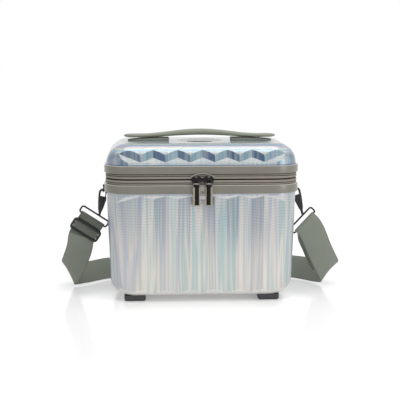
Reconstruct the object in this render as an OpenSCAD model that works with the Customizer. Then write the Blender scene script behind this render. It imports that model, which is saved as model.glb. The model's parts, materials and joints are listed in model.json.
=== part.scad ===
// Hard-shell beauty train case with a zipped lid, a soft carry handle and a clip-on webbing strap.
// Millimetres. +Z is up and the front of the case faces -Y.

/* [Case] */
// Width of the moulded shells
shell_w = 352; // [320:2:380]
// Depth of the moulded shells
shell_d = 205; // [185:1:230]
// Corner radius of the shells seen from above
plan_r = 45; // [36:1:55]
// Height of the feet
foot_h = 10; // [8:1:16]
// Height of the parting line of the zip above the ground
part_z = 229.5; // [200:0.5:240]
// Height of the top of the lid above the ground
lid_top_z = 293.5; // [280:0.5:310]
// Wall thickness of the shells
wall = 2.6; // [2:0.2:3.2]

/* [Flutes] */
// Distance from one flute to the next
flute_pitch = 45; // [35:1:50]
// Depth of a flute at its valley
flute_depth = 4.5; // [2:0.5:6]

/* [Bands and zip] */
// Height of the band round the rim of the base
base_band_h = 16; // [12:1:20]
// Height of the band round the rim of the lid
lid_band_h = 15; // [12:1:20]
// How far the bands stand out from the shells
band_proud = 4; // [3:0.5:5]
// Height of each zip tape, from its band to the parting line
tape_h = 10; // [8:1:12]
// Distance between the two sliders when they meet at the front
slider_gap = 23; // [22:1:30]
// Length of a zip pull
pull_len = 39; // [30:1:44]

/* [Handle] */
// Length of the carry handle
handle_len = 288; // [240:2:290]
// Width of the carry handle
handle_w = 30; // [24:1:36]
// Rise of the middle of the handle above its ends
handle_rise = 7.5; // [4:0.5:12]

/* [Strap] */
// Width of the webbing
web_w = 50; // [38:1:50]
// Thickness of the webbing
web_t = 1.8; // [1.4:0.2:2.4]
// How far the left strap loop leans over, in degrees
left_lean = 33; // [25:1:50]
// How far the right strap loop leans over, in degrees
right_lean = 47; // [25:1:50]

/* [Hidden] */

// The ground reference is the middle of the whole object with its strap laid out, so the case sits off it.
case_x = -4.03;
case_y = -32.84;

eps = 0.01;
gap = 0.4; // clearance between pieces that move
round_fn = 48;
corner_steps = 12;

shell_draft = 0.03; // slope of the base walls
base_top_z = part_z - tape_h; // top of the base band
base_rim_z = base_top_z - base_band_h; // bottom of the base band
lid_low_z = part_z + tape_h; // bottom of the lid band
lid_rim_z = lid_low_z + lid_band_h; // top of the lid band
rim_lap = 7; // how far each shell reaches into its band
base_side_r = 30;
base_front_r = 20;
lid_side_r = 38;
lid_front_r = 24;
sage = [0.62, 0.64, 0.58];
band_grey = [0.54, 0.52, 0.49];
shell_silver = [0.76, 0.82, 0.88];
gunmetal = [0.2, 0.2, 0.2];
lining_grey = [0.45, 0.45, 0.47];

module at_case() { translate([case_x, case_y, 0]) children(); }

// One side of the case is modelled, and the other is its mirror image.
module on_side(side) { mirror([side < 0 ? 1 : 0, 0, 0]) children(); }

// ---- lofted shells ----

// Points of a rectangle with round corners, at height z.
function ring(w, d, r, z) = [for (q = [0:3]) for (k = [0:corner_steps])
    let (a = 90 * (q + k / corner_steps), sx = (q == 0 || q == 3) ? 1 : -1, sy = q < 2 ? 1 : -1)
    [sx * (w / 2 - r) + r * cos(a), sy * (d / 2 - r) + r * sin(a), z]];

// Skin over a stack of rings that all have the same number of points.
module loft(rings) {
    n = len(rings[0]);
    top = (len(rings) - 1) * n;
    polyhedron(
        points = [for (one = rings) for (p = one) p],
        faces = concat([[for (i = [0:n - 1]) i]], [[for (i = [n - 1:-1:0]) top + i]],
            [for (j = [0:len(rings) - 2]) for (i = [0:n - 1])
                [j * n + i, (j + 1) * n + i, (j + 1) * n + (i + 1) % n, j * n + (i + 1) % n]]));
}

// Inset of an edge rounded by r, at distance h from the flat face it meets.
function rounding(r, h) = h >= r ? 0 : r - sqrt(r * r - (r - h) * (r - h));

// Ring of a shell whose flat end is h away. t insets the whole surface.
function shell_ring(t, z, h, side_r, front_r, slope) = let (
        s = rounding(side_r - t, h), f = rounding(front_r - t, h))
    ring(shell_w - 2 * (t + s + slope), shell_d - 2 * (t + f + slope), plan_r - t - (s + f) / 2, z);

module base_form(t, top) {
    floor_z = foot_h + t;
    steps = [for (a = [0:10:90]) (base_side_r - t) * (1 - cos(a))];
    loft(concat(
        [for (h = steps) shell_ring(t, floor_z + h, h, base_side_r, base_front_r,
            shell_draft * (base_rim_z - floor_z - h))],
        [shell_ring(t, base_rim_z, 99, base_side_r, base_front_r, 0)],
        [shell_ring(t, top, 99, base_side_r, base_front_r, 0)]));
}

module lid_form(t, bottom) {
    roof_z = lid_top_z - t;
    steps = [for (a = [90:-10:0]) (lid_side_r - t) * (1 - cos(a))];
    loft(concat(
        [shell_ring(t, bottom, 99, lid_side_r, lid_front_r, 0)],
        [for (h = steps) if (roof_z - h > bottom + 1) shell_ring(t, roof_z - h, h, lid_side_r, lid_front_r, 0)]));
}

// ---- flutes ----
// Seven upright valleys side by side. Their plan is a zigzag that follows the face and turns with its corners,
// and a sloping end plane closes every valley in a chevron next to the band.

flute_count = 7;
ridge_drop = 0.25; // the ridges lie just inside the face, so that they are sharp
function face_y(x) = shell_d / 2 - plan_r
    + sqrt(plan_r * plan_r - pow(max(0, abs(x) - (shell_w / 2 - plan_r)), 2));

module flute_plan(inset) {
    reach = flute_count * flute_pitch / 2;
    edge = [for (k = [-flute_count:flute_count]) let (x = k * flute_pitch / 2)
        [x, -face_y(x) + inset + (k % 2 == 0 ? flute_depth : ridge_drop)]];
    polygon(concat([[reach, -shell_d / 2 - 9], [-reach, -shell_d / 2 - 9]], edge));
}

// Side outline of the fluted zone, from its far end to the sloping end plane that meets the face at end_z.
module flute_zone(inset, end_z, far_z, run) {
    slope = run / flute_depth;
    front = -shell_d / 2 + inset;
    rotate([90, 0, 90]) linear_extrude(height = 2 * shell_w, center = true)
        polygon([[front - 16, end_z + 16 * slope], [front + 12, end_z - 12 * slope],
            [front + 12, far_z], [front - 16, far_z]]);
}

module base_flutes(inset) {
    for (back = [0, 1]) mirror([0, back, 0]) intersection() {
        translate([0, 0, base_rim_z]) rotate([atan(shell_draft), 0, 0]) translate([0, 0, -base_rim_z])
            linear_extrude(height = base_rim_z) flute_plan(inset);
        flute_zone(inset, base_rim_z - 4, -12, 6.5);
    }
}

module lid_flutes(inset) {
    for (back = [0, 1]) mirror([0, back, 0]) intersection() {
        translate([0, 0, lid_rim_z - 3]) linear_extrude(height = 60) flute_plan(inset);
        flute_zone(inset, lid_rim_z + 5.9, lid_top_z + 30, -9);
    }
}

module base_shell() {
    color(shell_silver) at_case() difference() {
        base_form(0, base_rim_z + rim_lap);
        base_flutes(0);
        difference() {
            base_form(wall, base_rim_z + rim_lap + 1);
            base_flutes(wall);
        }
    }
}

// Shallow round dish in the lid that gives the fingers room under the grip.
dish_r = 46;
dish_depth = 3.5;
dish_floor_r = 26;
module dish(inset) {
    translate([0, 0, lid_top_z - inset]) rotate_extrude($fn = 72) polygon([[0, 4], [dish_r + inset, 4],
        [dish_r + inset / 2, 0], [dish_r - 3.5, -dish_depth * 0.22], [dish_r - 8, -dish_depth * 0.55],
        [dish_r - 14, -dish_depth * 0.88], [dish_floor_r, -dish_depth], [0, -dish_depth]]);
}

module lid_shell() {
    color(shell_silver) at_case() difference() {
        lid_form(0, lid_rim_z - rim_lap);
        lid_flutes(0);
        dish(0);
        difference() {
            lid_form(wall, lid_rim_z - rim_lap - 1);
            lid_flutes(wall);
            dish(wall);
        }
        for (side = [-1, 1]) on_side(side) for (x = stud_x)
            translate([x, 0, lid_top_z - 6]) cylinder(d = screw_d + 0.4, h = 12, $fn = round_fn);
    }
}

// ---- bands, tapes and coils: a profile carried round the rim ----
// In a profile, x is the distance outwards from the face of the shell and y is the height.

module round_rim(trim = 0) {
    for (q = [0:3]) {
        long = q % 2 == 0;
        out = (long ? shell_w : shell_d) / 2;
        run = (long ? shell_d : shell_w) - 2 * plan_r;
        rotate([0, 0, 90 * q]) translate([out, 0, 0]) rotate([90, 0, 0])
            linear_extrude(height = run, center = true) children();
        rotate([0, 0, 90 * q]) translate([out - plan_r, (long ? shell_d : shell_w) / 2 - plan_r, 0])
            rotate_extrude(angle = 90, $fn = 96) translate([plan_r, 0]) children();
    }
}

rim_gap = 0.15; // room for the shell's edge in the band's slot
lip = 1.2; // chamfer of the outer edges of a band

module base_band() {
    color(band_grey) at_case() round_rim() polygon([
        [rim_gap, base_rim_z], [band_proud - lip, base_rim_z], [band_proud, base_rim_z + lip],
        [band_proud, base_top_z - lip], [band_proud - lip, base_top_z], [-wall - 2.4, base_top_z],
        [-wall - 2.4, base_rim_z], [-wall - rim_gap, base_rim_z],
        [-wall - rim_gap, base_rim_z + rim_lap + rim_gap], [rim_gap, base_rim_z + rim_lap + rim_gap]]);
}

module lid_band() {
    color(band_grey) at_case() round_rim() polygon([
        [rim_gap, lid_rim_z], [rim_gap, lid_rim_z - rim_lap - rim_gap],
        [-wall - rim_gap, lid_rim_z - rim_lap - rim_gap], [-wall - rim_gap, lid_rim_z],
        [-wall - 2.4, lid_rim_z], [-wall - 2.4, lid_low_z], [band_proud - lip, lid_low_z],
        [band_proud, lid_low_z + lip], [band_proud, lid_rim_z - lip], [band_proud - lip, lid_rim_z]]);
}

// The tapes end in a rolled lip on each side of a slit in which the sliders run.
slit = 2;
lip_in = -0.6;
lip_out = 1.6;
tape_in = -5;
root_h = 3.4;

module tape_profile() {
    polygon([[tape_in, 0], [lip_out, 0], [lip_out, tape_h - slit / 2], [lip_in, tape_h - slit / 2],
        [lip_in, root_h], [tape_in, root_h]]);
}

module base_zip_tape() {
    color(band_grey * 0.9) at_case() translate([0, 0, base_top_z]) round_rim() tape_profile();
}

module lid_zip_tape() {
    color(band_grey * 0.9) at_case() translate([0, 0, lid_low_z]) mirror([0, 0, 1]) round_rim() tape_profile();
}

// Coils, sewn to the inside of the tapes behind the slit.
module coil_profile() {
    polygon([[tape_in, root_h], [tape_in + 1.6, root_h], [tape_in + 1.6, tape_h - gap / 2], [tape_in, tape_h - gap / 2]]);
}

module base_zip_coil() {
    color(gunmetal * 1.4) at_case() translate([0, 0, base_top_z]) round_rim() coil_profile();
}

module lid_zip_coil() {
    color(gunmetal * 1.4) at_case() translate([0, 0, lid_low_z]) mirror([0, 0, 1]) round_rim() coil_profile();
}

// Hinge strip across the back, folded at the parting line. The lid turns about its outer face.
hinge_len = 240;
hinge_t = 1.2;
hinge_y = shell_d / 2 + lip_out + hinge_t + 0.2;

module hinge_half(low, high) {
    translate([-hinge_len / 2, shell_d / 2 + lip_out, low]) cube([hinge_len, hinge_t, high - low]);
}

module base_hinge_strip() { color(band_grey * 0.8) at_case() hinge_half(base_top_z + eps, part_z - gap / 2); }
module lid_hinge_strip() { color(band_grey * 0.8) at_case() hinge_half(part_z + gap / 2, lid_low_z - eps); }

// ---- sliders and pulls ----

pair_x = -0.6; // the sliders meet a little left of the middle
slider_l = 17;
slider_h = 13;
plate_in = lip_out + gap;
plate_t = 1.6;
bail_out = 7.6; // distance of the pull's axis from the face of the shell
bail_z = part_z - 9;
bail_r = 1.2;
pull_w = 13;
pull_t = 2.2;
pull_eye_r = 2.9;

// Outward profile coordinates at the middle of the front.
module at_front(x) { translate([x, -shell_d / 2, 0]) mirror([0, 1, 0]) children(); }

module slider_plan(l, h) {
    polygon([[-l / 2, -h * 0.3], [-l * 0.3, -h / 2], [l * 0.3, -h / 2], [l / 2, -h * 0.3],
        [l / 2, h * 0.3], [l * 0.3, h / 2], [-l * 0.3, h / 2], [-l / 2, h * 0.3]]);
}

module slider(x) {
    at_case() at_front(x) {
        // outer plate
        translate([0, plate_in + plate_t, part_z]) rotate([90, 0, 0])
            linear_extrude(height = plate_t) slider_plan(slider_l, slider_h);
        // web in the slit, and the foot behind the lips
        translate([-slider_l * 0.35, lip_in - gap - 0.6, part_z - 0.5])
            cube([slider_l * 0.7, plate_in - lip_in + gap + 1.2, 1]);
        translate([0, lip_in - gap, part_z]) rotate([90, 0, 0])
            linear_extrude(height = 1.6) slider_plan(slider_l - 2, slider_h - 3);
        // two cheeks that carry the pull's pin
        for (s = [-1, 1]) translate([s * (pull_eye_w / 2 + gap + 0.8) - 0.8, 0, 0]) {
            translate([0, plate_in + plate_t / 2, bail_z - 0.2]) cube([1.6, bail_out - plate_in - plate_t / 2, 5]);
            translate([0, bail_out, bail_z]) rotate([0, 90, 0]) cylinder(r = 2.4, h = 1.6, $fn = round_fn);
        }
        translate([-pull_eye_w / 2 - gap - 1, bail_out, bail_z]) rotate([0, 90, 0])
            cylinder(r = bail_r, h = pull_eye_w + 2 * gap + 2, $fn = round_fn);
    }
}

pull_eye_w = 7;
inlay_w = 7;
inlay_x = 0.9; // the inlays sit nearer to the inner edges of the pair
inlay_t = 0.9;

module pull_inlay_form(x, play) {
    at_front(x + (x < pair_x ? inlay_x : -inlay_x)) translate([0, bail_out + pull_t / 2 + eps, bail_z]) rotate([90, 0, 0])
        linear_extrude(height = inlay_t) translate([-inlay_w / 2 - play, -pull_len + 3 - play])
            square([inlay_w + 2 * play, pull_len - 9 + 2 * play]);
}

module pull(x) {
    at_case() difference() {
        at_front(x) difference() {
            union() {
                translate([0, bail_out + pull_t / 2, bail_z]) rotate([90, 0, 0]) linear_extrude(height = pull_t) {
                    translate([-pull_w / 2, -pull_len]) square([pull_w, pull_len - 4]);
                    translate([-pull_eye_w / 2, -6]) square([pull_eye_w, 6]);
                }
                translate([-pull_eye_w / 2, bail_out, bail_z]) rotate([0, 90, 0])
                    cylinder(r = pull_eye_r, h = pull_eye_w, $fn = round_fn);
            }
            translate([-pull_eye_w, bail_out, bail_z]) rotate([0, 90, 0])
                cylinder(r = bail_r + gap, h = 2 * pull_eye_w, $fn = round_fn);
        }
        pull_inlay_form(x, 0);
    }
}

module left_slider() { color(gunmetal) slider(pair_x - slider_gap / 2); }
module right_slider() { color(gunmetal) slider(pair_x + slider_gap / 2); }
module left_pull() { color(sage) pull(pair_x - slider_gap / 2); }
module right_pull() { color(sage) pull(pair_x + slider_gap / 2); }
module left_pull_inlay() { color(gunmetal) at_case() pull_inlay_form(pair_x - slider_gap / 2, -0.05); }
module right_pull_inlay() { color(gunmetal) at_case() pull_inlay_form(pair_x + slider_gap / 2, -0.05); }

// Arched hood on the lid band over the closed sliders.
hood_r = 40;
hood_t = 1.8;
hood_w = 43;
hood_depth = 2.2;
hood_top_z = lid_low_z + 2.5;
hood_low_z = part_z + 4.5;

module slider_hood() {
    color(band_grey) at_case() at_front(pair_x) intersection() {
        translate([0, band_proud + 0.02, hood_top_z - hood_r]) rotate([-90, 0, 0]) difference() {
            cylinder(r = hood_r, h = hood_depth, $fn = 96);
            translate([0, 0, -1]) cylinder(r = hood_r - hood_t, h = hood_depth + 2, $fn = 96);
        }
        translate([-hood_w / 2, 0, hood_low_z]) cube([hood_w, 20, 20]);
    }
}

// Rubber tab with a loop end between the two pulls.
tab_w = 10;
tab_low_z = base_rim_z - 2;

module slider_tab() {
    color(band_grey) at_case() at_front(pair_x) translate([0, band_proud + 1.6, 0]) rotate([90, 0, 0])
        linear_extrude(height = 1.55) difference() {
            union() {
                translate([-tab_w / 2, tab_low_z + tab_w / 2]) square([tab_w, base_top_z - tab_low_z - tab_w / 2 - 2]);
                translate([0, tab_low_z + tab_w / 2]) circle(d = tab_w, $fn = round_fn);
            }
            translate([0, tab_low_z + tab_w / 2]) circle(d = tab_w - 5, $fn = round_fn);
        }
}

// ---- carry handle ----

handle_end_t = 6.5;
handle_mid_t = 11.5;
handle_z = lid_top_z + 6.2; // underside of the handle's ends
mount_len = 78;
mount_w = 34;
mount_in_x = 59; // inner end of each mount
mount_h = 5.6;
stud_x = [77, 114]; // studs that hold each end of the handle
stud_r = 3;
stud_head_r = 5;
stud_head_t = 1.4;
handle_lift = 2.5; // play of the handle on its studs
pocket_neck = 1; // thickness of the handle's underside round each stud
head_z = handle_z + pocket_neck + handle_lift + 0.3; // underside of the stud heads
screw_d = 3;

// Smooth step from 0 to 1, for the swelling of the grip.
function swell(x) = let (u = max(0, min(1, (handle_len * 0.4 - abs(x)) / (handle_len * 0.4)))) (1 - cos(180 * u)) / 2;
function handle_under(x) = handle_z + handle_rise * 0.55 * swell(x);
function handle_over(x) = handle_z + handle_end_t + (handle_rise + handle_mid_t - handle_end_t - handle_rise * 0.45) * swell(x);

module handle_side() {
    half = handle_len / 2;
    xs = [for (x = [-half + 6:(handle_len - 12) / 44:half - 5.9]) x];
    polygon(concat([for (x = xs) [x, handle_over(x)]],
        [for (a = [60:-30:-60]) [half - 6 + 6 * cos(a), handle_z + handle_end_t / 2 * (1 + sin(a))]],
        [for (i = [len(xs) - 1:-1:0]) [xs[i], handle_under(xs[i])]],
        [for (a = [-60:30:60]) [-half + 6 - 6 * cos(a), handle_z + handle_end_t / 2 * (1 + sin(a))]]));
}

module handle_plan() {
    round_end = handle_w / 2;
    translate([-handle_len / 2 + round_end, -handle_w / 2]) square([handle_len - 2 * round_end, handle_w]);
    for (s = [-1, 1]) translate([s * (handle_len / 2 - round_end), 0]) circle(r = round_end, $fn = round_fn);
}

module carry_handle() {
    color(sage) at_case() difference() {
        intersection() {
            rotate([90, 0, 0]) linear_extrude(height = handle_w, center = true) handle_side();
            translate([0, 0, lid_top_z]) linear_extrude(height = 60) handle_plan();
        }
        // pockets for the stud heads, open below through a narrower neck
        for (s = [-1, 1]) for (x = stud_x) translate([s * x, 0, handle_z]) {
            translate([0, 0, -1]) cylinder(r = stud_r + gap, h = 4, $fn = round_fn);
            translate([0, 0, pocket_neck])
                cylinder(r = stud_head_r + gap, h = head_z + stud_head_t + gap - handle_z - pocket_neck, $fn = round_fn);
        }
    }
}

module handle_mount(side) {
    at_case() on_side(side) difference() {
        intersection() {
            rotate([90, 0, 0]) linear_extrude(height = mount_w, center = true) polygon([
                [mount_in_x, lid_top_z + eps], [mount_in_x + mount_len, lid_top_z + eps],
                [mount_in_x + mount_len, lid_top_z + 2.2], [mount_in_x + mount_len * 0.45, lid_top_z + mount_h],
                [mount_in_x, lid_top_z + mount_h]]);
            translate([0, 0, lid_top_z - 1]) linear_extrude(height = 20) union() {
                translate([mount_in_x, -mount_w / 2]) square([mount_len - mount_w / 2, mount_w]);
                translate([mount_in_x + mount_len - mount_w / 2, 0]) circle(d = mount_w, $fn = round_fn);
            }
        }
        for (x = stud_x) translate([x, 0, lid_top_z - 1]) cylinder(r = stud_r, h = 20, $fn = round_fn);
    }
}

module left_handle_mount() { color(sage * 0.85) handle_mount(-1); }
module right_handle_mount() { color(sage * 0.85) handle_mount(1); }

// Headed studs: they stand in the mounts and hold the handle's ends with a little lift.
module handle_studs() {
    color(gunmetal) at_case() for (s = [-1, 1]) for (x = stud_x) translate([s * x, 0, lid_top_z + eps]) difference() {
        union() {
            cylinder(r = stud_r - 0.02, h = head_z + 0.5 - lid_top_z, $fn = round_fn);
            translate([0, 0, head_z - lid_top_z]) cylinder(r = stud_head_r, h = stud_head_t, $fn = round_fn);
        }
        translate([0, 0, -1]) cylinder(d = screw_d, h = 6, $fn = round_fn);
    }
}

module handle_screws() {
    color(gunmetal) at_case() for (s = [-1, 1]) for (x = stud_x) translate([s * x, 0, lid_top_z - wall]) {
        translate([0, 0, -2]) cylinder(r = 4, h = 2 - eps, $fn = round_fn);
        translate([0, 0, -1]) cylinder(d = screw_d - 0.04, h = wall + 5.5, $fn = round_fn);
    }
}

// Plain badge plate under the grip, left bare.
module top_plate() {
    color(gunmetal) at_case() translate([0, 0, lid_top_z - dish_depth + eps]) linear_extrude(height = 1.2)
        offset(r = 3, $fn = 24) square([41, 10], center = true);
}

// ---- feet ----

foot_l = 40;
foot_w = 30;
foot_x = 125;
foot_y = 66;

module foot(sx, sy) {
    at_case() translate([sx * foot_x, sy * foot_y, 0]) difference() {
        intersection() {
            rotate([90, 0, 0]) linear_extrude(height = foot_w, center = true) polygon([
                [-foot_l / 2 + 3.5, 0], [foot_l / 2 - 3.5, 0], [foot_l / 2 - 1, 1], [foot_l / 2, 3.5],
                [foot_l / 2, foot_h - eps], [-foot_l / 2, foot_h - eps], [-foot_l / 2, 3.5], [-foot_l / 2 + 1, 1]]);
            linear_extrude(height = foot_h) offset(r = 5, $fn = 32) square([foot_l - 10, foot_w - 10], center = true);
        }
        translate([0, 0, -1]) cylinder(r = 4.4, h = 5, $fn = round_fn);
        translate([0, 0, -1]) cylinder(d = 3.6, h = 30, $fn = round_fn);
    }
}

module front_left_foot() { color([0.25, 0.25, 0.25]) foot(-1, -1); }
module front_right_foot() { color([0.25, 0.25, 0.25]) foot(1, -1); }
module rear_left_foot() { color([0.25, 0.25, 0.25]) foot(-1, 1); }
module rear_right_foot() { color([0.25, 0.25, 0.25]) foot(1, 1); }

module foot_screws() {
    color("silver") at_case() for (sx = [-1, 1]) for (sy = [-1, 1]) translate([sx * foot_x, sy * foot_y, 0]) {
        translate([0, 0, 1.6]) cylinder(r = 4, h = 2.4 - eps, $fn = round_fn);
        translate([0, 0, 3]) cylinder(d = 3.56, h = foot_h - 3 - eps, $fn = round_fn);
    }
}

// ---- linings ----

lining_in = wall + flute_depth + 0.8;
lining_t = 1.4;

module base_lining() {
    color(lining_grey) at_case() difference() {
        base_form(lining_in, base_top_z - 1);
        base_form(lining_in + lining_t, base_top_z);
    }
}

module lid_lining() {
    color(lining_grey) at_case() difference() {
        lid_form(lining_in, lid_low_z + 1);
        lid_form(lining_in + lining_t, lid_low_z);
    }
}

// Gathered pocket on the lid's lining.
pocket_w = 250;
pocket_d = 120;

module lid_pocket() {
    color(lining_grey * 1.2) at_case() translate([0, 0, lid_top_z - lining_in - lining_t - 3.4])
        linear_extrude(height = 3) offset(r = 12, $fn = 32) square([pocket_w - 24, pocket_d - 24], center = true);
}

// ---- side rings, hooks and strap loops ----
// The hardware of one side is drawn in the upright plane through the middle of the case. There x is the distance
// outwards from the middle of the case. It hangs from the ring's bar.

ring_x = shell_w / 2 + band_proud + 2.8;
ring_z = base_rim_z + 4;
ring_wire = 1.3;
ring_drop = 12.5;
ring_half = 9;
hook_len = 54.5;

bracket_w = 12;

module ring_bracket(side) {
    at_case() on_side(side) difference() {
        union() {
            translate([shell_w / 2 + band_proud + eps, -bracket_w / 2, ring_z]) cube([1.2, bracket_w, 9]);
            translate([ring_x, bracket_w / 2, ring_z]) rotate([90, 0, 0]) cylinder(r = 2.7, h = bracket_w, $fn = round_fn);
        }
        translate([ring_x, bracket_w, ring_z]) rotate([90, 0, 0])
            cylinder(r = ring_wire + 0.08, h = 2 * bracket_w, $fn = round_fn);
        translate([shell_w / 2, 0, ring_z + 5.8]) rotate([0, 90, 0]) cylinder(d = 2.6, h = 12, $fn = round_fn);
    }
}

module left_ring_bracket() { color(gunmetal) ring_bracket(-1); }
module right_ring_bracket() { color(gunmetal) ring_bracket(1); }

module bracket_rivets() {
    color("silver") at_case() for (side = [-1, 1]) on_side(side) translate([shell_w / 2 + band_proud + eps, 0, ring_z + 5.8]) {
        rotate([0, 90, 0]) cylinder(d = 2.56, h = 1.3, $fn = round_fn);
        translate([1.25, 0, 0]) rotate([0, 90, 0]) cylinder(d = 4.4, h = 0.8, $fn = round_fn);
    }
}

function lean(side) = side < 0 ? left_lean : right_lean;
// Angle of the hanging ring and hook from upright.
function hang(side) = side < 0 ? 9.8 : 16.2;

// Frame of the hanging hardware: origin on the ring's bar, -Z along the hook.
module hanging(side) {
    at_case() on_side(side) translate([ring_x, 0, ring_z]) rotate([0, -hang(side), 0]) children();
}

module wire(points, r) {
    for (i = [0:len(points) - 2]) {
        d = points[i + 1] - points[i];
        translate(points[i]) rotate([0, acos(d[2] / norm(d)), atan2(d[1], d[0])])
            cylinder(r = r, h = norm(d), $fn = 24);
    }
}

// D ring: a straight bar in the bracket and a round bow that hangs below it.
module d_ring(side) {
    hanging(side) {
        rotate([90, 0, 0]) cylinder(r = ring_wire, h = 2 * ring_half, center = true, $fn = round_fn);
        for (s = [-1, 1]) {
            translate([0, s * ring_half, -(ring_drop - ring_half)]) cylinder(r = ring_wire, h = ring_drop - ring_half, $fn = round_fn);
            translate([0, s * ring_half, 0]) sphere(r = ring_wire, $fn = round_fn);
        }
        translate([0, 0, -(ring_drop - ring_half)]) rotate([0, 90, 0]) rotate([0, 0, -90])
            rotate_extrude(angle = 180, $fn = round_fn) translate([ring_half, 0]) circle(r = ring_wire, $fn = round_fn);
    }
}

module left_d_ring() { color(gunmetal) d_ring(-1); }
module right_d_ring() { color(gunmetal) d_ring(1); }

// Snap hook: a round nose over the ring, an open mouth towards the case, a tapering body and a socket.
nose_r = 6.2; // middle radius of the nose
nose_t = 2; // half the thickness of the casting
eye_z = -ring_drop + ring_wire + 0.8 - (nose_r - nose_t); // middle of the nose
socket_z = -hook_len;
gate_half = 0.7; // half the thickness of the gate
pin_r = 0.7;
gate_pin_x = -nose_r + 0.6;
gate_pin_z = eye_z - 9;

module hook(side) {
    hanging(side) difference() {
        union() {
            // flat casting: nose, open mouth, and a body that widens to the socket
            rotate([90, 0, 0]) linear_extrude(height = 2 * nose_t, center = true) {
                difference() {
                    translate([0, eye_z]) circle(r = nose_r + nose_t, $fn = 96);
                    translate([0, eye_z]) circle(r = nose_r - nose_t, $fn = 96);
                    translate([-20, eye_z - 20]) square([40, 20]);
                }
                polygon([[nose_r - nose_t, eye_z], [nose_r + nose_t, eye_z], [nose_r + nose_t - 0.6, eye_z - 10],
                    [4.4, socket_z + 7], [2.9, socket_z + 3.4], [-2.9, socket_z + 3.4], [-4.4, socket_z + 7],
                    [-nose_r - nose_t, gate_pin_z - 4], [-nose_r - nose_t + 0.6, gate_pin_z + 2.2],
                    [-nose_r + 2.6, gate_pin_z + 2.2], [nose_r - nose_t, eye_z - 6.5]]);
            }
            translate([0, 0, socket_z]) cylinder(r1 = 2.4, r2 = 3.4, h = 5, $fn = round_fn);
        }
        translate([0, 0, socket_z - 1]) cylinder(r = 1.3, h = 2.6, $fn = round_fn);
        translate([0, 0, socket_z + 1.4]) cylinder(r = 2, h = 2.2, $fn = round_fn);
        // fork for the gate, and the bore of its pin
        translate([-nose_r - 3, -gate_half - gap, gate_pin_z - 2.6]) cube([6.4, 2 * (gate_half + gap), 12]);
        translate([gate_pin_x, 9, gate_pin_z]) rotate([90, 0, 0]) cylinder(r = pin_r, h = 18, $fn = round_fn);
    }
}

module left_hook() { color(gunmetal) hook(-1); }
module right_hook() { color(gunmetal) hook(1); }

// Gate: a lever from the pin up to the tip of the nose, opening inwards.
module hook_gate(side) {
    hanging(side) difference() {
        rotate([90, 0, 0]) linear_extrude(height = 2 * gate_half, center = true) {
            translate([gate_pin_x, gate_pin_z]) circle(r = 1.7, $fn = round_fn);
            translate([gate_pin_x - 0.9, gate_pin_z]) square([1.8, eye_z - gap - gate_pin_z]);
        }
        translate([gate_pin_x, 9, gate_pin_z]) rotate([90, 0, 0])
            cylinder(r = pin_r + 0.05, h = 18, $fn = round_fn);
    }
}

module left_hook_gate() { color(gunmetal * 1.5) hook_gate(-1); }
module right_hook_gate() { color(gunmetal * 1.5) hook_gate(1); }

module gate_pin(side) {
    hanging(side) translate([gate_pin_x, nose_t, gate_pin_z]) rotate([90, 0, 0])
        cylinder(r = pin_r, h = 2 * nose_t, $fn = round_fn);
}

module left_gate_pin() { color("silver") gate_pin(-1); }
module right_gate_pin() { color("silver") gate_pin(1); }

// Strap loop: a long link of round wire cast on a swivel post.
loop_half = web_w / 2 + 0.6; // half the straight length of each long bar
loop_bar = 6.4; // half the distance between the two long bars
loop_corner = 4;
loop_wire = 1.7;

// Closed rectangle of round bar with round corners, in the upright plane.
module bar_frame(half_x, half_z, corner, r) {
    for (s = [-1, 1]) {
        translate([0, 0, s * half_z]) rotate([0, 90, 0])
            cylinder(r = r, h = 2 * (half_x - corner), center = true, $fn = round_fn);
        translate([s * half_x, 0, 0]) cylinder(r = r, h = 2 * (half_z - corner), center = true, $fn = round_fn);
        for (e = [-1, 1]) translate([s * (half_x - corner), 0, e * (half_z - corner)])
            rotate([90, 0, 0]) rotate([0, 0, s > 0 ? (e > 0 ? 0 : -90) : (e > 0 ? 90 : 180)])
                rotate_extrude(angle = 90, $fn = round_fn) translate([corner, 0]) circle(r = r, $fn = round_fn);
    }
}

// Middle of the loop, outwards and up, so that its upper bar carries the swivel.
function post_along(side) = side < 0 ? -7.5 : 8;
function swivel_drop(side) = side < 0 ? 4.8 : 8.4; // from the hook's end to the loop's bar
function swivel_at(side) = let (d = hook_len + swivel_drop(side))
    [ring_x + sin(hang(side)) * d, ring_z - cos(hang(side)) * d];
function loop_at(side) = let (l = lean(side), k = swivel_at(side))
    [k[0] - cos(l) * post_along(side) + sin(l) * loop_bar, k[1] - sin(l) * post_along(side) - cos(l) * loop_bar];

// Frame of a strap loop: x along its bars towards the outer end, z up across them.
module at_loop(side) {
    at_case() on_side(side) translate([loop_at(side)[0], 0, loop_at(side)[1]]) rotate([0, -lean(side), 0]) children();
}

module strap_loop(side) {
    union() {
        at_loop(side) bar_frame(loop_half + loop_corner, loop_bar, loop_corner, loop_wire);
        hanging(side) {
            translate([0, 0, socket_z - swivel_drop(side)]) cylinder(r = 1.25, h = swivel_drop(side) + 2.4, $fn = round_fn);
            translate([0, 0, socket_z + 1.7]) cylinder(r = 1.7, h = 1.5, $fn = round_fn);
            translate([0, 0, socket_z - swivel_drop(side)]) cylinder(r = 2.4, h = swivel_drop(side) - gap, $fn = round_fn);
        }
    }
}

module left_strap_loop() { color(gunmetal) strap_loop(-1); }
module right_strap_loop() { color(gunmetal) strap_loop(1); }

// Three-bar adjuster that the left end of the strap is threaded through.
adjuster_drop = 31; // from the middle of the loop to the middle of the adjuster
adjuster_half = web_w / 2 + 3.2;
adjuster_bar = 10.8;

module strap_adjuster() {
    color(gunmetal) at_loop(-1) translate([0, 0, -adjuster_drop]) {
        bar_frame(adjuster_half, adjuster_bar, 3.5, 1.8);
        rotate([0, 90, 0]) cylinder(r = 1.5, h = 2 * adjuster_half, center = true, $fn = round_fn);
    }
}

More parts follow.
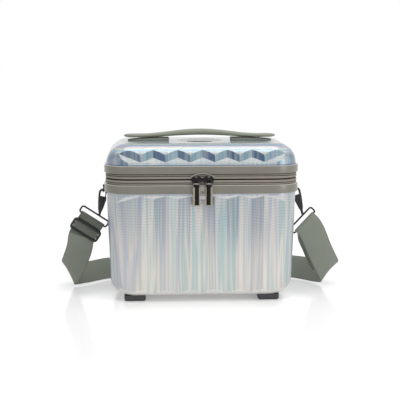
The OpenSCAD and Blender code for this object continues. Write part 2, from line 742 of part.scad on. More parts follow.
// ---- webbing ----
// A run of webbing is a list of stations: the middle of the tape, and the direction across its width.

function unit(v) = v / norm(v);
function normal_at(run, i) = let (a = run[max(i - 1, 0)][0], b = run[min(i + 1, len(run) - 1)][0])
    unit(cross(b - a, run[i][1]));

module webbing(run) {
    n = len(run);
    polyhedron(
        points = [for (i = [0:n - 1]) let (c = run[i][0], w = unit(run[i][1]) * web_w / 2, t = normal_at(run, i) * web_t / 2)
            each [c - w - t, c + w - t, c + w + t, c - w + t]],
        faces = concat([[0, 1, 2, 3]], [[4 * n - 1, 4 * n - 2, 4 * n - 3, 4 * n - 4]],
            [for (i = [0:n - 2]) for (k = [0:3]) let (a = 4 * i + k, b = 4 * i + (k + 1) % 4)
                each [[a, a + 4, b + 4], [a, b + 4, b]]]));
}

// Where the strap leaves the adjuster on the left and the loop on the right.
function on_loop(side, x, z) = let (l = lean(side), c = loop_at(side))
    [side * (c[0] + cos(l) * x - sin(l) * z), 0, c[1] + sin(l) * x + cos(l) * z];
function across(side) = [side * cos(lean(side)), 0, sin(lean(side))];

// Threading of the left end, as [back, up] in the loop's own plane: it starts on the adjuster's middle bar,
// turns round the loop, and comes back through the adjuster.
wrap_r = loop_wire + gap + web_t / 2;
turn_round = [for (a = [0:30:180]) [wrap_r * cos(a), wrap_r * sin(a) - loop_bar]];
left_threading = concat([[2.9, -31.5], [4.6, -26], [5, -20.2], [4.2, -14], [3.3, -9]], turn_round,
    [[-2.7, -10.5], [0.4, -15], [3.1, -20.2], [0.4, -25.5], [-2.8, -31], [0.2, -36.5], [3.1, -41.8], [2.7, -46]]);
right_threading = concat([[1.4, -17], [2.2, -13], [3.1, -8.5]], turn_round, [[-3.1, -8.5], [-2.2, -13], [-1.4, -17]]);

module strap_end(side, threading) {
    at_loop(side) webbing([for (p = threading) [[0, p[0], p[1]], [1, 0, 0]]]);
}

module left_strap_end() { color(sage) strap_end(-1, left_threading); }
module right_strap_end() { color(sage) strap_end(1, right_threading); }

// Free runs of the strap, in the case's own frame. It drops to the ground beside the case, turns on its edge
// and passes behind.
left_run = [
    [on_loop(-1, 0, -46.5) + [0, 2.7, 0], across(-1)],
    [[-232, 7, 86.6], [-0.85, 0, 0.53]], [[-239, 15, 65.8], [-0.84, 0.03, 0.54]],
    [[-247, 27, 47], [-0.74, 0.08, 0.67]], [[-253, 40, 33.4], [-0.58, 0.1, 0.81]],
    [[-256, 52, 27], [-0.45, 0.06, 0.89]], [[-254, 62, 25], [-0.43, 0.02, 0.9]],
    [[-247, 71, 24.5], [-0.44, 0.1, 0.89]], [[-236, 82, 24], [-0.46, 0.22, 0.86]]];
rear_run = [
    [[-235.3, 82.8, 24], [-0.46, 0.22, 0.86]], [[-222, 98, 22.5], [-0.47, 0.33, 0.82]],
    [[-204, 117, 21], [-0.46, 0.44, 0.77]], [[-178, 136, 20], [-0.36, 0.56, 0.74]],
    [[-140, 151, 19.6], [-0.2, 0.64, 0.74]], [[-80, 159, 19.8], [-0.06, 0.66, 0.75]],
    [[0, 162, 20.2], [0, 0.64, 0.77]], [[80, 159, 20], [0.06, 0.65, 0.76]],
    [[135, 152, 20], [0.2, 0.62, 0.76]], [[173, 138, 20.4], [0.36, 0.52, 0.77]],
    [[203, 117, 21], [0.47, 0.4, 0.79]], [[224, 96, 21.6], [0.52, 0.28, 0.8]],
    [[239.4, 76.8, 22], [0.54, 0.2, 0.82]]];
right_run = [
    [on_loop(1, 0, -17.5) + [0, -1.4, 0], across(1)],
    [[221, 1, 110.5], [0.77, 0, 0.64]], [[234, 9, 80.4], [0.87, 0, 0.5]],
    [[246, 17, 57.4], [0.93, 0, 0.36]], [[254, 25, 42.8], [0.85, 0, 0.52]],
    [[258, 33, 32.4], [0.71, 0.02, 0.71]], [[259, 42, 26], [0.6, 0.03, 0.8]],
    [[256.5, 52, 24], [0.57, 0.02, 0.82]], [[250, 63, 23], [0.56, 0.12, 0.82]],
    [[240, 76, 22], [0.54, 0.2, 0.82]]];
right_tail = [
    [on_loop(1, 0, -17.5) + [0, 1.4, 0], across(1)],
    [[219, 12, 109.5], [0.72, 0, 0.69]], [[229, 23, 90.8], [0.75, 0, 0.66]], [[238, 32, 72], [0.77, 0, 0.64]],
    [[245, 38, 55.3], [0.77, 0, 0.64]]];

module left_strap_fall() { color(sage) at_case() webbing(left_run); }
module strap_rear_run() { color(sage) at_case() webbing(rear_run); }
module right_strap_fall() {
    color(sage) at_case() {
        webbing(right_run);
        webbing(right_tail);
    }
}

base_shell();
lid_shell();
base_band();
lid_band();
base_zip_tape();
lid_zip_tape();
base_zip_coil();
lid_zip_coil();
base_hinge_strip();
lid_hinge_strip();
slider_hood();
slider_tab();
left_slider();
right_slider();
left_pull();
right_pull();
left_pull_inlay();
right_pull_inlay();
carry_handle();
left_handle_mount();
right_handle_mount();
handle_studs();
handle_screws();
top_plate();
front_left_foot();
front_right_foot();
rear_left_foot();
rear_right_foot();
foot_screws();
base_lining();
lid_lining();
lid_pocket();
left_ring_bracket();
right_ring_bracket();
bracket_rivets();
left_d_ring();
right_d_ring();
left_hook();
right_hook();
left_hook_gate();
right_hook_gate();
left_gate_pin();
right_gate_pin();
left_strap_loop();
right_strap_loop();
strap_adjuster();
left_strap_end();
left_strap_fall();
strap_rear_run();
right_strap_fall();
right_strap_end();
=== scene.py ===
# %% [markdown]
# # A hard-shell makeup train case
# The case is two moulded shells with fluted walls, joined by a zip between two rubber bands. The
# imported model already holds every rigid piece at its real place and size, so this lesson starts
# from it, gives each piece its finish, and models what the rigid model leaves plain: the zip, the
# soft handle, the cloth linings and the webbing strap.

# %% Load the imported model
import json
import math

import bpy
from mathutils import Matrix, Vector

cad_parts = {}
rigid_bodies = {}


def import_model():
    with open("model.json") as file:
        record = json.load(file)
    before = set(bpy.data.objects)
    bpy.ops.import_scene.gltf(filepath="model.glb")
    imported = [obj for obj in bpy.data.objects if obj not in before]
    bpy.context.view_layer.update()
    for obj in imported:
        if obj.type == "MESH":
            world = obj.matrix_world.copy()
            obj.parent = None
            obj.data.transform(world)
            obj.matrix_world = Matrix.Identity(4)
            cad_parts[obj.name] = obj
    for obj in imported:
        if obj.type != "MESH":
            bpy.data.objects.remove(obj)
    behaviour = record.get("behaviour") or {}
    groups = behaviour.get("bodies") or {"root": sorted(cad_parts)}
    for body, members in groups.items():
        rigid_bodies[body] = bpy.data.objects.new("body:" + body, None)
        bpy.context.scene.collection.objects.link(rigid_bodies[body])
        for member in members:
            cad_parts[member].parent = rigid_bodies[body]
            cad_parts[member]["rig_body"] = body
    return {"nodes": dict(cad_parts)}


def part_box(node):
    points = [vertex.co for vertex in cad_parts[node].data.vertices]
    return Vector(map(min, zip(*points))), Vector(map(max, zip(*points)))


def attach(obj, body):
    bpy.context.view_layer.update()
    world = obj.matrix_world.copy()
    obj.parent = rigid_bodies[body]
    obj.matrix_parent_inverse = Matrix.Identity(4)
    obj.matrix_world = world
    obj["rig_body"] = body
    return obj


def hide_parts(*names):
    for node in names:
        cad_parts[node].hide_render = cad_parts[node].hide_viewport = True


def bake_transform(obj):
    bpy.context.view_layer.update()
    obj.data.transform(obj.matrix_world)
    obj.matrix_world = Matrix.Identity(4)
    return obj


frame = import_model()
nodes = frame["nodes"]
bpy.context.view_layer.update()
MM = 0.001
print("nodes:", len(nodes))

# %% [markdown]
# The case stands a little off the middle of the frame, because its strap counts in the whole
# object's box. The base band gives the case's own middle, and `at` turns millimetres measured on
# the case into a place in the frame. Seen from above, the rim is four straight sides joined by
# four quarter circles, so one quarter of it is all that the later steps have to know.

# %% The case's own middle
band_low, band_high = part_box("base_band")
middle = (band_low + band_high) / 2
BAND_PROUD = 4 * MM
shell_w = band_high.x - band_low.x - 2 * BAND_PROUD
shell_d = band_high.y - band_low.y - 2 * BAND_PROUD
PLAN_R = 45 * MM
SIDE_X, SIDE_Y = shell_w / 2 - PLAN_R, shell_d / 2 - PLAN_R
TURN = PLAN_R * math.pi / 2
QUARTER = SIDE_X + SIDE_Y + TURN


def at(x, y, z):
    """A place given in millimetres from the middle of the case, and up from the ground."""
    return Vector((middle.x + x * MM, middle.y + y * MM, z * MM))


print("shell", round(shell_w, 4), "by", round(shell_d, 4), "rim", round(4 * QUARTER, 4))

# %% [markdown]
# ## Camera, floor and light
# A long lens from a little above and left of the middle keeps the front almost square. The floor
# and the world are white where the camera sees them, and the lamps stay at a plain level, so that
# each colour renders about as it is written.

# %% Camera
LENS = 89.86
CAMERA_PLACE = at(-103.2, -1901.5, 440.8)
YAW, PITCH = 0.0545, -0.1372
camera_data = bpy.data.cameras.new("camera")
camera_data.lens = LENS
camera_data.clip_end = 50
camera = bpy.data.objects.new("camera", camera_data)
bpy.context.scene.collection.objects.link(camera)
camera.location = CAMERA_PLACE
camera.rotation_euler = (math.pi / 2 + PITCH, 0, -YAW)
bpy.context.scene.camera = camera
bpy.context.scene.view_settings.view_transform = "Standard"
print("camera at", [round(c, 3) for c in camera.location], "lens", LENS)

# %% [markdown]
# A finish is written as the colour a paint chart gives, so `chart` turns those values into the
# linear ones that Blender's sockets want. `finish` starts a material with one Principled shader,
# and `paint` hands finished materials to a piece.


# %% Colour and finish
def chart(red, green, blue):
    """Linear colour from paint-chart values of 0 to 255."""
    linear = [
        c / 255 / 12.92 if c <= 10 else ((c / 255 + 0.055) / 1.055) ** 2.4
        for c in (red, green, blue)
    ]
    return (*linear, 1)


def finish(name, colour, roughness, metallic=0.0, coat=0.0):
    """A material with one Principled shader, and its node tree's parts."""
    made = bpy.data.materials.new(name)
    made.use_nodes = True
    tree = made.node_tree
    shader = tree.nodes["Principled BSDF"]
    shader.inputs["Base Color"].default_value = colour
    shader.inputs["Roughness"].default_value = roughness
    shader.inputs["Metallic"].default_value = metallic
    shader.inputs["Coat Weight"].default_value = coat
    shader.inputs["Coat Roughness"].default_value = 0.06
    return made, tree, shader


def node(tree, kind, **values):
    """A shader node, with its properties and its named inputs set."""
    made = tree.nodes.new(kind)
    for key, value in values.items():
        if hasattr(made, key):
            setattr(made, key, value)
        else:
            made.inputs[key].default_value = value
    return made


def paint(piece, *materials):
    """Gives a piece its materials, in place of those it came with."""
    piece.data.materials.clear()
    for material in materials:
        piece.data.materials.append(material)


print("chart grey 128 is linear", round(chart(128, 128, 128)[0], 3))

# %% [markdown]
# Every pattern on the case is arithmetic on a place or a slope. These helpers each stand for one
# step of it, so that a finish reads as a short list of steps: a product, a mix, a ramp, a smooth
# step from one height to another, or a bump.


# %% Steps that patterns are made of
def bump(tree, shader, height, distance, strength):
    """Turns a height into the shader's normal."""
    relief = node(tree, "ShaderNodeBump", Distance=distance, Strength=strength)
    tree.links.new(height, relief.inputs["Height"])
    tree.links.new(relief.outputs["Normal"], shader.inputs["Normal"])


def split(tree, vector):
    """The X, Y and Z of a vector."""
    parts = node(tree, "ShaderNodeSeparateXYZ")
    tree.links.new(vector, parts.inputs[0])
    return parts.outputs


def ramp(tree, fac, stops):
    """A colour ramp through (position, colour) stops."""
    made = node(tree, "ShaderNodeValToRGB")
    points = made.color_ramp.elements
    for point, (position, colour) in zip((points[0], points[-1]), (stops[0], stops[-1])):
        point.position, point.color = position, colour
    for position, colour in stops[1:-1]:
        points.new(position).color = colour
    tree.links.new(fac, made.inputs["Fac"])
    return made.outputs["Color"]


def math_node(tree, operation, first, second=None, third=None, clamp=False):
    """One step of arithmetic. Each operand is a socket or a number."""
    made = node(tree, "ShaderNodeMath", operation=operation, use_clamp=clamp)
    for socket, value in zip(made.inputs, (first, second, third)):
        if value is None:
            continue
        if isinstance(value, (int, float)):
            socket.default_value = value
        else:
            tree.links.new(value, socket)
    return made.outputs["Value"]


def times(tree, first, *factors):
    """The product of two or more sockets or numbers."""
    for factor in factors:
        first = math_node(tree, "MULTIPLY", first, factor)
    return first


def mix(tree, fac, first, second, blend_type="MIX"):
    """Mixes two colours. Each is a socket or a colour."""
    made = node(tree, "ShaderNodeMix", data_type="RGBA", blend_type=blend_type)
    # a colour mix keeps its share in socket 0 and its two colours in sockets 6 and 7
    for number, value in ((0, fac), (6, first), (7, second)):
        socket = made.inputs[number]
        if isinstance(value, (int, float, tuple)):
            socket.default_value = value
        else:
            tree.links.new(value, socket)
    return made.outputs[2]


def spread(tree, value, low, high):
    """A smooth step from 0 at low to 1 at high, or down from 1 where high is the smaller."""
    made = node(tree, "ShaderNodeMapRange", interpolation_type="SMOOTHSTEP")
    made.inputs["From Min"].default_value = low
    made.inputs["From Max"].default_value = high
    tree.links.new(value, made.inputs["Value"])
    return made.outputs[0]


print("pattern steps:", [step.__name__ for step in (bump, split, ramp, times, mix, spread)])

# %% [markdown]
# The floor and the sky each hold two shaders. `shown_brighter` lets the camera and the mirror
# reflections see the brighter one, while the plainer one does the lighting. The floor's glow is
# weak, so the shadow of the case still shows on it.


# %% Floor and world
WHITE = (1, 1, 1, 1)
FLOOR_GLOW = 0.24
SKY_LIGHT = 0.5


def shown_brighter(tree, lighting, shown, end):
    """Ends a node tree in two shaders: one that is shown, and one that lights the scene."""
    rays = node(tree, "ShaderNodeLightPath").outputs
    seen = math_node(tree, "MAXIMUM", rays["Is Camera Ray"], rays["Is Glossy Ray"])
    choose = node(tree, "ShaderNodeMixShader")
    for socket, value in zip(choose.inputs, (seen, lighting.outputs[0], shown.outputs[0])):
        tree.links.new(value, socket)
    tree.links.new(choose.outputs[0], tree.nodes[end].inputs["Surface"])


bpy.ops.object.select_all(action="DESELECT")
bpy.ops.mesh.primitive_plane_add(size=60, location=(0, 20, -0.5 * MM))
floor = bpy.context.active_object
floor.name = "floor"
floor_paint, tree, shader = finish("floor_paint", chart(243, 243, 243), 0.16)
glow = node(tree, "ShaderNodeEmission", Strength=FLOOR_GLOW)
both = node(tree, "ShaderNodeAddShader")
tree.links.new(shader.outputs[0], both.inputs[0])
tree.links.new(glow.outputs[0], both.inputs[1])
shown_brighter(tree, shader, both, "Material Output")
floor.data.materials.append(floor_paint)

world = bpy.data.worlds.new("studio")
bpy.context.scene.world = world
world.use_nodes = True
tree = world.node_tree
seen_sky = node(tree, "ShaderNodeBackground", Strength=1.0)
seen_sky.inputs["Color"].default_value = WHITE
soft_sky = tree.nodes["Background"]
soft_sky.inputs["Color"].default_value = WHITE
soft_sky.inputs["Strength"].default_value = SKY_LIGHT
shown_brighter(tree, soft_sky, seen_sky, "World Output")
print("floor and world:", floor.name, world.name)

# %% [markdown]
# Three soft boxes light the case: one from above, one of about the same strength from the right,
# and a faint one from the left. The flutes then have a light side and a darker one, and neither
# is lost.


# %% Lamps
CASE_MIDDLE = (0, 0, 0.15)


def lamp(name, energy, size, place):
    """A soft box that faces the middle of the case."""
    data = bpy.data.lights.new(name, "AREA")
    data.energy = energy
    data.shape = "RECTANGLE"
    data.size, data.size_y = size
    made = bpy.data.objects.new(name, data)
    bpy.context.scene.collection.objects.link(made)
    made.location = place
    aim = Vector(CASE_MIDDLE) - Vector(place)
    made.rotation_euler = aim.to_track_quat("-Z", "Y").to_euler()
    print(name, "watts:", energy)


lamp("top_box", 11, (1.6, 1.2), (0, -0.3, 1.5))
lamp("left_box", 2.6, (0.8, 1.4), (-1.3, -1.3, 0.8))
lamp("right_box", 9.5, (0.8, 1.4), (1.3, -1.2, 0.7))

# %% [markdown]
# ## Shared effects
# Three effects serve more than one finish, so each is a node group that is built once: a fine
# moulding grain, the ribs of a woven tape that follow the piece's own UV map, and a slow
# unevenness that keeps large faces from looking printed.


# %% Making and placing a group
def new_group(name, inputs, outputs):
    """An empty shader group with float inputs and the outputs' kinds."""
    made = bpy.data.node_groups.new(name, "ShaderNodeTree")
    for label, value in inputs:
        socket = made.interface.new_socket(label, in_out="INPUT", socket_type="NodeSocketFloat")
        socket.default_value = value
    for label in outputs:
        made.interface.new_socket(label, in_out="OUTPUT", socket_type="NodeSocketFloat")
    return made, made.nodes.new("NodeGroupInput"), made.nodes.new("NodeGroupOutput")


def wave_of(tree, value, period):
    """A smooth wave from 0 to 1 that repeats every period."""
    turns = math_node(tree, "DIVIDE", value, period)
    wave = math_node(tree, "SINE", times(tree, turns, 2 * math.pi))
    return math_node(tree, "MULTIPLY_ADD", wave, 0.5, 0.5)


def grouped(tree, group, **values):
    """Places a group in a material with its own values."""
    made = tree.nodes.new("ShaderNodeGroup")
    made.node_tree = group
    for key, value in values.items():
        made.inputs[key].default_value = value
    return made


print("a wave goes round in", round(2 * math.pi, 4))

# %% [markdown]
# The grain is a fine noise that a Bump node turns into relief. The unevenness is a slow noise
# between a low and a high value, and it serves for gloss as well as for colour. Both read the
# piece's own Object coordinates, so they stay on it when it moves.

# %% Grain and unevenness
grain_group, group_in, group_out = new_group("moulding_grain", [("Scale", 900.0)], ["Height"])
place = node(grain_group, "ShaderNodeTexCoord").outputs["Object"]
speckle = node(grain_group, "ShaderNodeTexNoise", Detail=3.0, Roughness=0.6)
grain_group.links.new(place, speckle.inputs["Vector"])
grain_group.links.new(group_in.outputs["Scale"], speckle.inputs["Scale"])
grain_group.links.new(speckle.outputs["Fac"], group_out.inputs["Height"])

uneven_group, group_in, group_out = new_group(
    "slow_unevenness", [("Scale", 9.0), ("Low", 0.9), ("High", 1.1)], ["Value"]
)
place = node(uneven_group, "ShaderNodeTexCoord").outputs["Object"]
cloud = node(uneven_group, "ShaderNodeTexNoise", Detail=2.0)
uneven_group.links.new(place, cloud.inputs["Vector"])
uneven_group.links.new(group_in.outputs["Scale"], cloud.inputs["Scale"])
scaled = node(uneven_group, "ShaderNodeMapRange")
uneven_group.links.new(cloud.outputs["Fac"], scaled.inputs["Value"])
scaled.inputs["From Min"].default_value = 0.3
scaled.inputs["From Max"].default_value = 0.7
uneven_group.links.new(group_in.outputs["Low"], scaled.inputs["To Min"])
uneven_group.links.new(group_in.outputs["High"], scaled.inputs["To Max"])
uneven_group.links.new(scaled.outputs["Result"], group_out.inputs["Value"])
print("groups:", grain_group.name, uneven_group.name)

# %% [markdown]
# Woven tape has ribs that run along it and picks that cross them. In a tape's UV map, U runs
# across it and V along it, both in metres, so the two waves are as wide as the real yarns. A pick
# runs ahead a little on a rib's crest, and that gives the slanted look of a weave.

# %% Weave
PICK_BOW = 0.0009  # how far a pick runs ahead on a rib's crest
PICK_HEIGHT = 0.45  # a pick's height, where a rib's is 1
weave_group, group_in, group_out = new_group(
    "tape_weave", [("Rib", 0.0016), ("Pick", 0.0011)], ["Height", "Shade"]
)
flat = split(weave_group, node(weave_group, "ShaderNodeTexCoord").outputs["UV"])
rib = wave_of(weave_group, flat["X"], group_in.outputs["Rib"])
bowed = math_node(weave_group, "MULTIPLY_ADD", rib, PICK_BOW, flat["Y"])
pick = wave_of(weave_group, bowed, group_in.outputs["Pick"])
height = math_node(weave_group, "MULTIPLY_ADD", pick, PICK_HEIGHT, rib)
shade = times(weave_group, height, round(1 / (1 + PICK_HEIGHT), 2))
weave_group.links.new(height, group_out.inputs["Height"])
weave_group.links.new(shade, group_out.inputs["Shade"])
print("weave sockets:", [socket.name for socket in weave_group.interface.items_tree])

# %% [markdown]
# ## The shell's film
# The shells are moulded polycarbonate with a rainbow film under a clear gloss. A film like this
# shows a different colour on each slope, in long upright streaks. Its colour is mixed from the
# surface's own normal, which is painted reflection and painted shade, and from streaks that are
# stretched from top to bottom. Rainbow fringes, a painted reflection, follow the shoulder, where
# the wall leans back into the top, and fine level hairlines cross the upper half. The gloss is a
# thin clear coat over a slightly metallic base.


# %% The film's streaks and fringes
STREAKS = [
    (0.30, chart(214, 222, 224)),
    (0.38, chart(190, 212, 214)),
    (0.44, chart(238, 234, 228)),
    (0.50, chart(216, 215, 216)),
    (0.55, chart(196, 206, 218)),
    (0.60, chart(236, 227, 223)),
    (0.67, chart(194, 218, 214)),
    (0.76, chart(228, 229, 230)),
]
# the fringes are a painted rainbow reflection, by how far the surface faces up
FRINGES = [
    # how far the surface faces up, and the colour there
    (0.12, WHITE),
    (0.26, chart(212, 232, 244)),
    (0.38, chart(255, 240, 226)),
    (0.48, WHITE),
    (0.58, chart(214, 240, 246)),
    (0.68, WHITE),
    (0.76, chart(252, 222, 206)),
    (0.83, chart(226, 214, 242)),
    (0.90, chart(190, 226, 244)),
    (0.95, chart(255, 250, 240)),
    (0.985, chart(255, 234, 212)),
    (1.0, WHITE),
]
HAIRLINE_STEP = 5.2 * MM
HAIRLINE_GREY = chart(112, 122, 136)


def noise(tree, vector, scale, detail=2.0):
    """Soft noise, with each axis of its pattern scaled by its own factor."""
    stretched = node(tree, "ShaderNodeMapping")
    stretched.inputs["Scale"].default_value = scale
    tree.links.new(vector, stretched.inputs["Vector"])
    made = node(tree, "ShaderNodeTexNoise", Scale=1.0, Detail=detail)
    tree.links.new(stretched.outputs["Vector"], made.inputs["Vector"])
    return made.outputs["Fac"]


def hairlines(tree, place, height):
    """Fine level lines that wander up and down, and fade out in the lower half."""
    wander = noise(tree, place, (22, 22, 6))
    height_there = math_node(tree, "MULTIPLY_ADD", wander, 0.02, height)
    line = math_node(tree, "POWER", wave_of(tree, height_there, HAIRLINE_STEP), 6.0)
    return times(tree, line, spread(tree, height, 0.09, 0.16), 0.27)


print("streaks:", len(STREAKS), "fringes:", len(FRINGES))

# %% [markdown]
# The film's colour is laid on in layers, as a painter would: first the body's tones, with painted
# reflection and shade on the round ends and the top, then a tone for each kind of slope, which is
# painted reflection and shade as well, and last the streaks, the fringes, a painted rainbow
# reflection, and the hairlines. The streaks and fringes multiply what is under them, so they tint
# it and never hide it. The base and the lid take the same layers with their own tones.


# %% Rainbow film
def film(
    name,
    blue_tone,
    far_tone,
    pale_tone,
    top_tone,
    side_tone,
    foot_tone,
    blue_low,
    blue_high,
    patchy,
    streak_share,
    fringe,
    rim_shade,
):
    """Film that turns blue_tone on the slopes that face left and far_tone on their neighbours."""
    made, tree, shader = finish(name, pale_tone, 0.2, metallic=0.25, coat=0.35)
    shader.inputs["Specular IOR Level"].default_value = 0.3
    texture = node(tree, "ShaderNodeTexCoord").outputs
    place = texture["Object"]
    slope = split(tree, texture["Normal"])
    height = split(tree, place)["Z"]
    sideways = math_node(tree, "ABSOLUTE", slope["X"])

    # the body's tones: the foot's, then painted reflection and shade on the round ends and the top
    risen = spread(tree, height, blue_low, blue_high)
    body = mix(tree, risen, foot_tone, pale_tone)
    body = mix(tree, spread(tree, sideways, 0.45, 0.85), body, side_tone)
    body = mix(tree, spread(tree, slope["Z"], 0.75, 0.97), body, top_tone)

    # painted reflection and shade on the flute's two kinds of slope, left out where the wall turns
    # the corner or lies level
    left = times(tree, slope["X"], math_node(tree, "SIGN", slope["Y"]))
    upright = spread(tree, math_node(tree, "ABSOLUTE", slope["Z"]), 0.5, 0.35)
    on_flutes = times(tree, spread(tree, sideways, 0.75, 0.3), upright)
    patch = noise(tree, place, (9, 9, 2), detail=1.0)
    patch = math_node(tree, "MULTIPLY_ADD", patch, 2.2, -0.45, clamp=True)
    patch = math_node(tree, "MULTIPLY_ADD", patch, patchy, 1 - patchy)
    fibre = spread(tree, noise(tree, place, (150, 150, 1.5)), 0.42, 0.66)
    fibre = math_node(tree, "MULTIPLY_ADD", fibre, -0.3, 1.0)
    for tone, turned in ((far_tone, -1), (blue_tone, 1)):
        share = spread(tree, times(tree, left, turned), 0.03, 0.14)
        body = mix(tree, times(tree, share, risen, on_flutes, patch, fibre), body, tone)

    # upright streaks of cream, rose, lilac and teal, then the fringes, a painted rainbow
    # reflection, and the hairlines
    hues = ramp(tree, noise(tree, place, (60, 60, 1.2)), STREAKS)
    streaked = math_node(tree, "MULTIPLY_ADD", upright, streak_share - 0.5, 0.5)
    colour = mix(tree, streaked, body, hues, "MULTIPLY")
    colour = mix(tree, fringe, colour, ramp(tree, slope["Z"], FRINGES), "MULTIPLY")
    colour = mix(tree, hairlines(tree, place, height), colour, HAIRLINE_GREY)

    # painted shade: a thin dark line on the wall next to the rim band
    rim = spread(tree, height, rim_shade, rim_shade - 1.6 * MM)
    under = spread(tree, height, rim_shade - 6 * MM, rim_shade - 3 * MM)
    colour = mix(tree, times(tree, rim, under, 0.8), colour, blue_tone)
    tree.links.new(colour, shader.inputs["Base Color"])
    rough = grouped(tree, uneven_group, Scale=14.0, Low=0.17, High=0.27)
    tree.links.new(rough.outputs[0], shader.inputs["Roughness"])
    return made


print("film layers ready, on", uneven_group.name)

# %% [markdown]
# The base is pale, and its blue grows with height. The lid is a deeper blue all over, and its
# fringes are at full strength.

# %% The two films
base_film = film(
    "base_film",
    blue_tone=chart(168, 181, 193),
    far_tone=chart(212, 213, 214),
    pale_tone=chart(224, 225, 226),
    top_tone=chart(190, 193, 196),
    side_tone=chart(206, 209, 214),
    foot_tone=chart(238, 235, 231),
    blue_low=0.05,
    blue_high=0.2,
    patchy=0.9,
    streak_share=1.0,
    fringe=0.6,
    rim_shade=0.206,
)
lid_film = film(
    "lid_film",
    blue_tone=chart(76, 104, 138),
    far_tone=chart(140, 168, 184),
    pale_tone=chart(214, 222, 226),
    top_tone=chart(174, 182, 188),
    side_tone=chart(142, 158, 180),
    foot_tone=chart(214, 222, 226),
    blue_low=0.22,
    blue_high=0.24,
    patchy=0.2,
    streak_share=0.85,
    fringe=1.0,
    rim_shade=0.257,
)
for made in (base_film, lid_film):
    print(made.name, "nodes:", len(made.node_tree.nodes))

# %% [markdown]
# ## Finishes of the smaller pieces
# The rim bands, the grip and its bases are soft-touch rubber: matt, with a fine moulding grain.
# Some of them are lighter or darker where they face up: the bands' tops carry a painted
# highlight, and the tops of the grip's bases carry painted shade from the grip. The zip's metal is
# painted gunmetal, apart from the two pulls, whose frames are a satin champagne, and the strap's
# hardware is a harder, glossier black. The gunmetal is lighter where it faces up, as a painted
# glint.


# %% Rubber, plastic and metal
def painted_top_light(tree, colour, top):
    """A colour that turns to another where the surface faces up: a painted highlight if lighter,
    painted shade if darker.
    """
    slope = split(tree, node(tree, "ShaderNodeTexCoord").outputs["Normal"])
    return mix(tree, spread(tree, slope["Z"], 0.25, 0.85), colour, top)


def shaded(tree, colour, value):
    """The colour, made lighter or darker by a value."""
    tone = node(tree, "ShaderNodeHueSaturation")
    tone.inputs["Color"].default_value = colour
    tree.links.new(value, tone.inputs["Value"])
    return tone.outputs["Color"]


def moulded(name, colour, roughness, grain=900.0, coat=0.0, gloss=0.5, top=None):
    """Rubber or plastic with a fine grain, slightly uneven colour and, at will, painted light on
    its top.
    """
    made, tree, shader = finish(name, colour, roughness, coat=coat)
    shader.inputs["Specular IOR Level"].default_value = gloss
    uneven = grouped(tree, uneven_group, Scale=22.0, Low=0.94, High=1.06)
    shown = shaded(tree, colour, uneven.outputs[0])
    if top:
        shown = painted_top_light(tree, shown, top)
    tree.links.new(shown, shader.inputs["Base Color"])
    height = grouped(tree, grain_group, Scale=grain)
    bump(tree, shader, height.outputs[0], 0.12 * MM, 0.6)
    return made


def metal(name, colour, roughness, coat=0.3, metallic=0.85, gloss=0.5, top=None):
    """Painted or bare metal, with fine wear in its gloss and, at will, a lighter top as a painted
    glint.
    """
    made, tree, shader = finish(name, colour, roughness, metallic=metallic, coat=coat)
    shader.inputs["Specular IOR Level"].default_value = gloss
    if top:
        tree.links.new(painted_top_light(tree, colour, top), shader.inputs["Base Color"])
    worn = grouped(tree, uneven_group, Scale=60.0, Low=roughness * 0.75, High=roughness * 1.3)
    tree.links.new(worn.outputs[0], shader.inputs["Roughness"])
    return made


# the bands' lighter top is a painted highlight
band_rubber = moulded(
    "band_rubber", chart(120, 116, 106), 0.36, coat=0.4, top=chart(186, 182, 174)
)
tab_rubber = moulded("tab_rubber", chart(150, 146, 140), 0.4, coat=0.15)
grip_rubber = moulded("grip_rubber", chart(134, 138, 122), 0.5)
# the bases' dark top is painted shade, under the grip
mount_plastic = moulded("mount_plastic", chart(116, 122, 112), 0.55, top=chart(44, 46, 42))
foot_rubber = moulded("foot_rubber", chart(58, 58, 60), 0.5, grain=600.0)
# the gunmetal's lighter top is a painted glint
gunmetal = metal(
    "gunmetal", chart(20, 17, 16), 0.2, coat=0, metallic=0.1, gloss=0.25, top=chart(168, 164, 156)
)
strap_black = metal("strap_black", chart(34, 33, 35), 0.34, metallic=0.55)
champagne = metal("champagne", chart(150, 144, 127), 0.3)
bare_steel = metal("bare_steel", chart(168, 168, 170), 0.3, coat=0.0, metallic=1.0)
inlay_dark = moulded("inlay_dark", chart(22, 19, 18), 0.6, grain=1400.0, gloss=0.15)
plate_metal = metal("plate_metal", chart(30, 31, 32), 0.45, coat=0.0, metallic=0.3)
coil_nylon = moulded("coil_nylon", chart(70, 66, 63), 0.35, grain=2000.0)

PLAIN_NODES = {
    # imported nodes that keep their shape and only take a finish
    strap_black: ("left_d_ring", "right_d_ring", "left_strap_loop", "right_strap_loop"),
    gunmetal: ("left_hook_gate", "right_hook_gate", "left_gate_pin", "right_gate_pin"),
    bare_steel: ("handle_studs", "handle_screws", "foot_screws", "bracket_rivets"),
}
for material, names in PLAIN_NODES.items():
    for name in names:
        paint(nodes[name], material)
    print(material.name, "on", names)

# %% [markdown]
# The webbing, the zip tapes and the cloths are all woven, so they share one weave: ribs that run
# along the piece and picks that cross them. The strap's two outer edges, its selvages, are
# darker. The weave follows each piece's own UV map, and turns the corners with it.


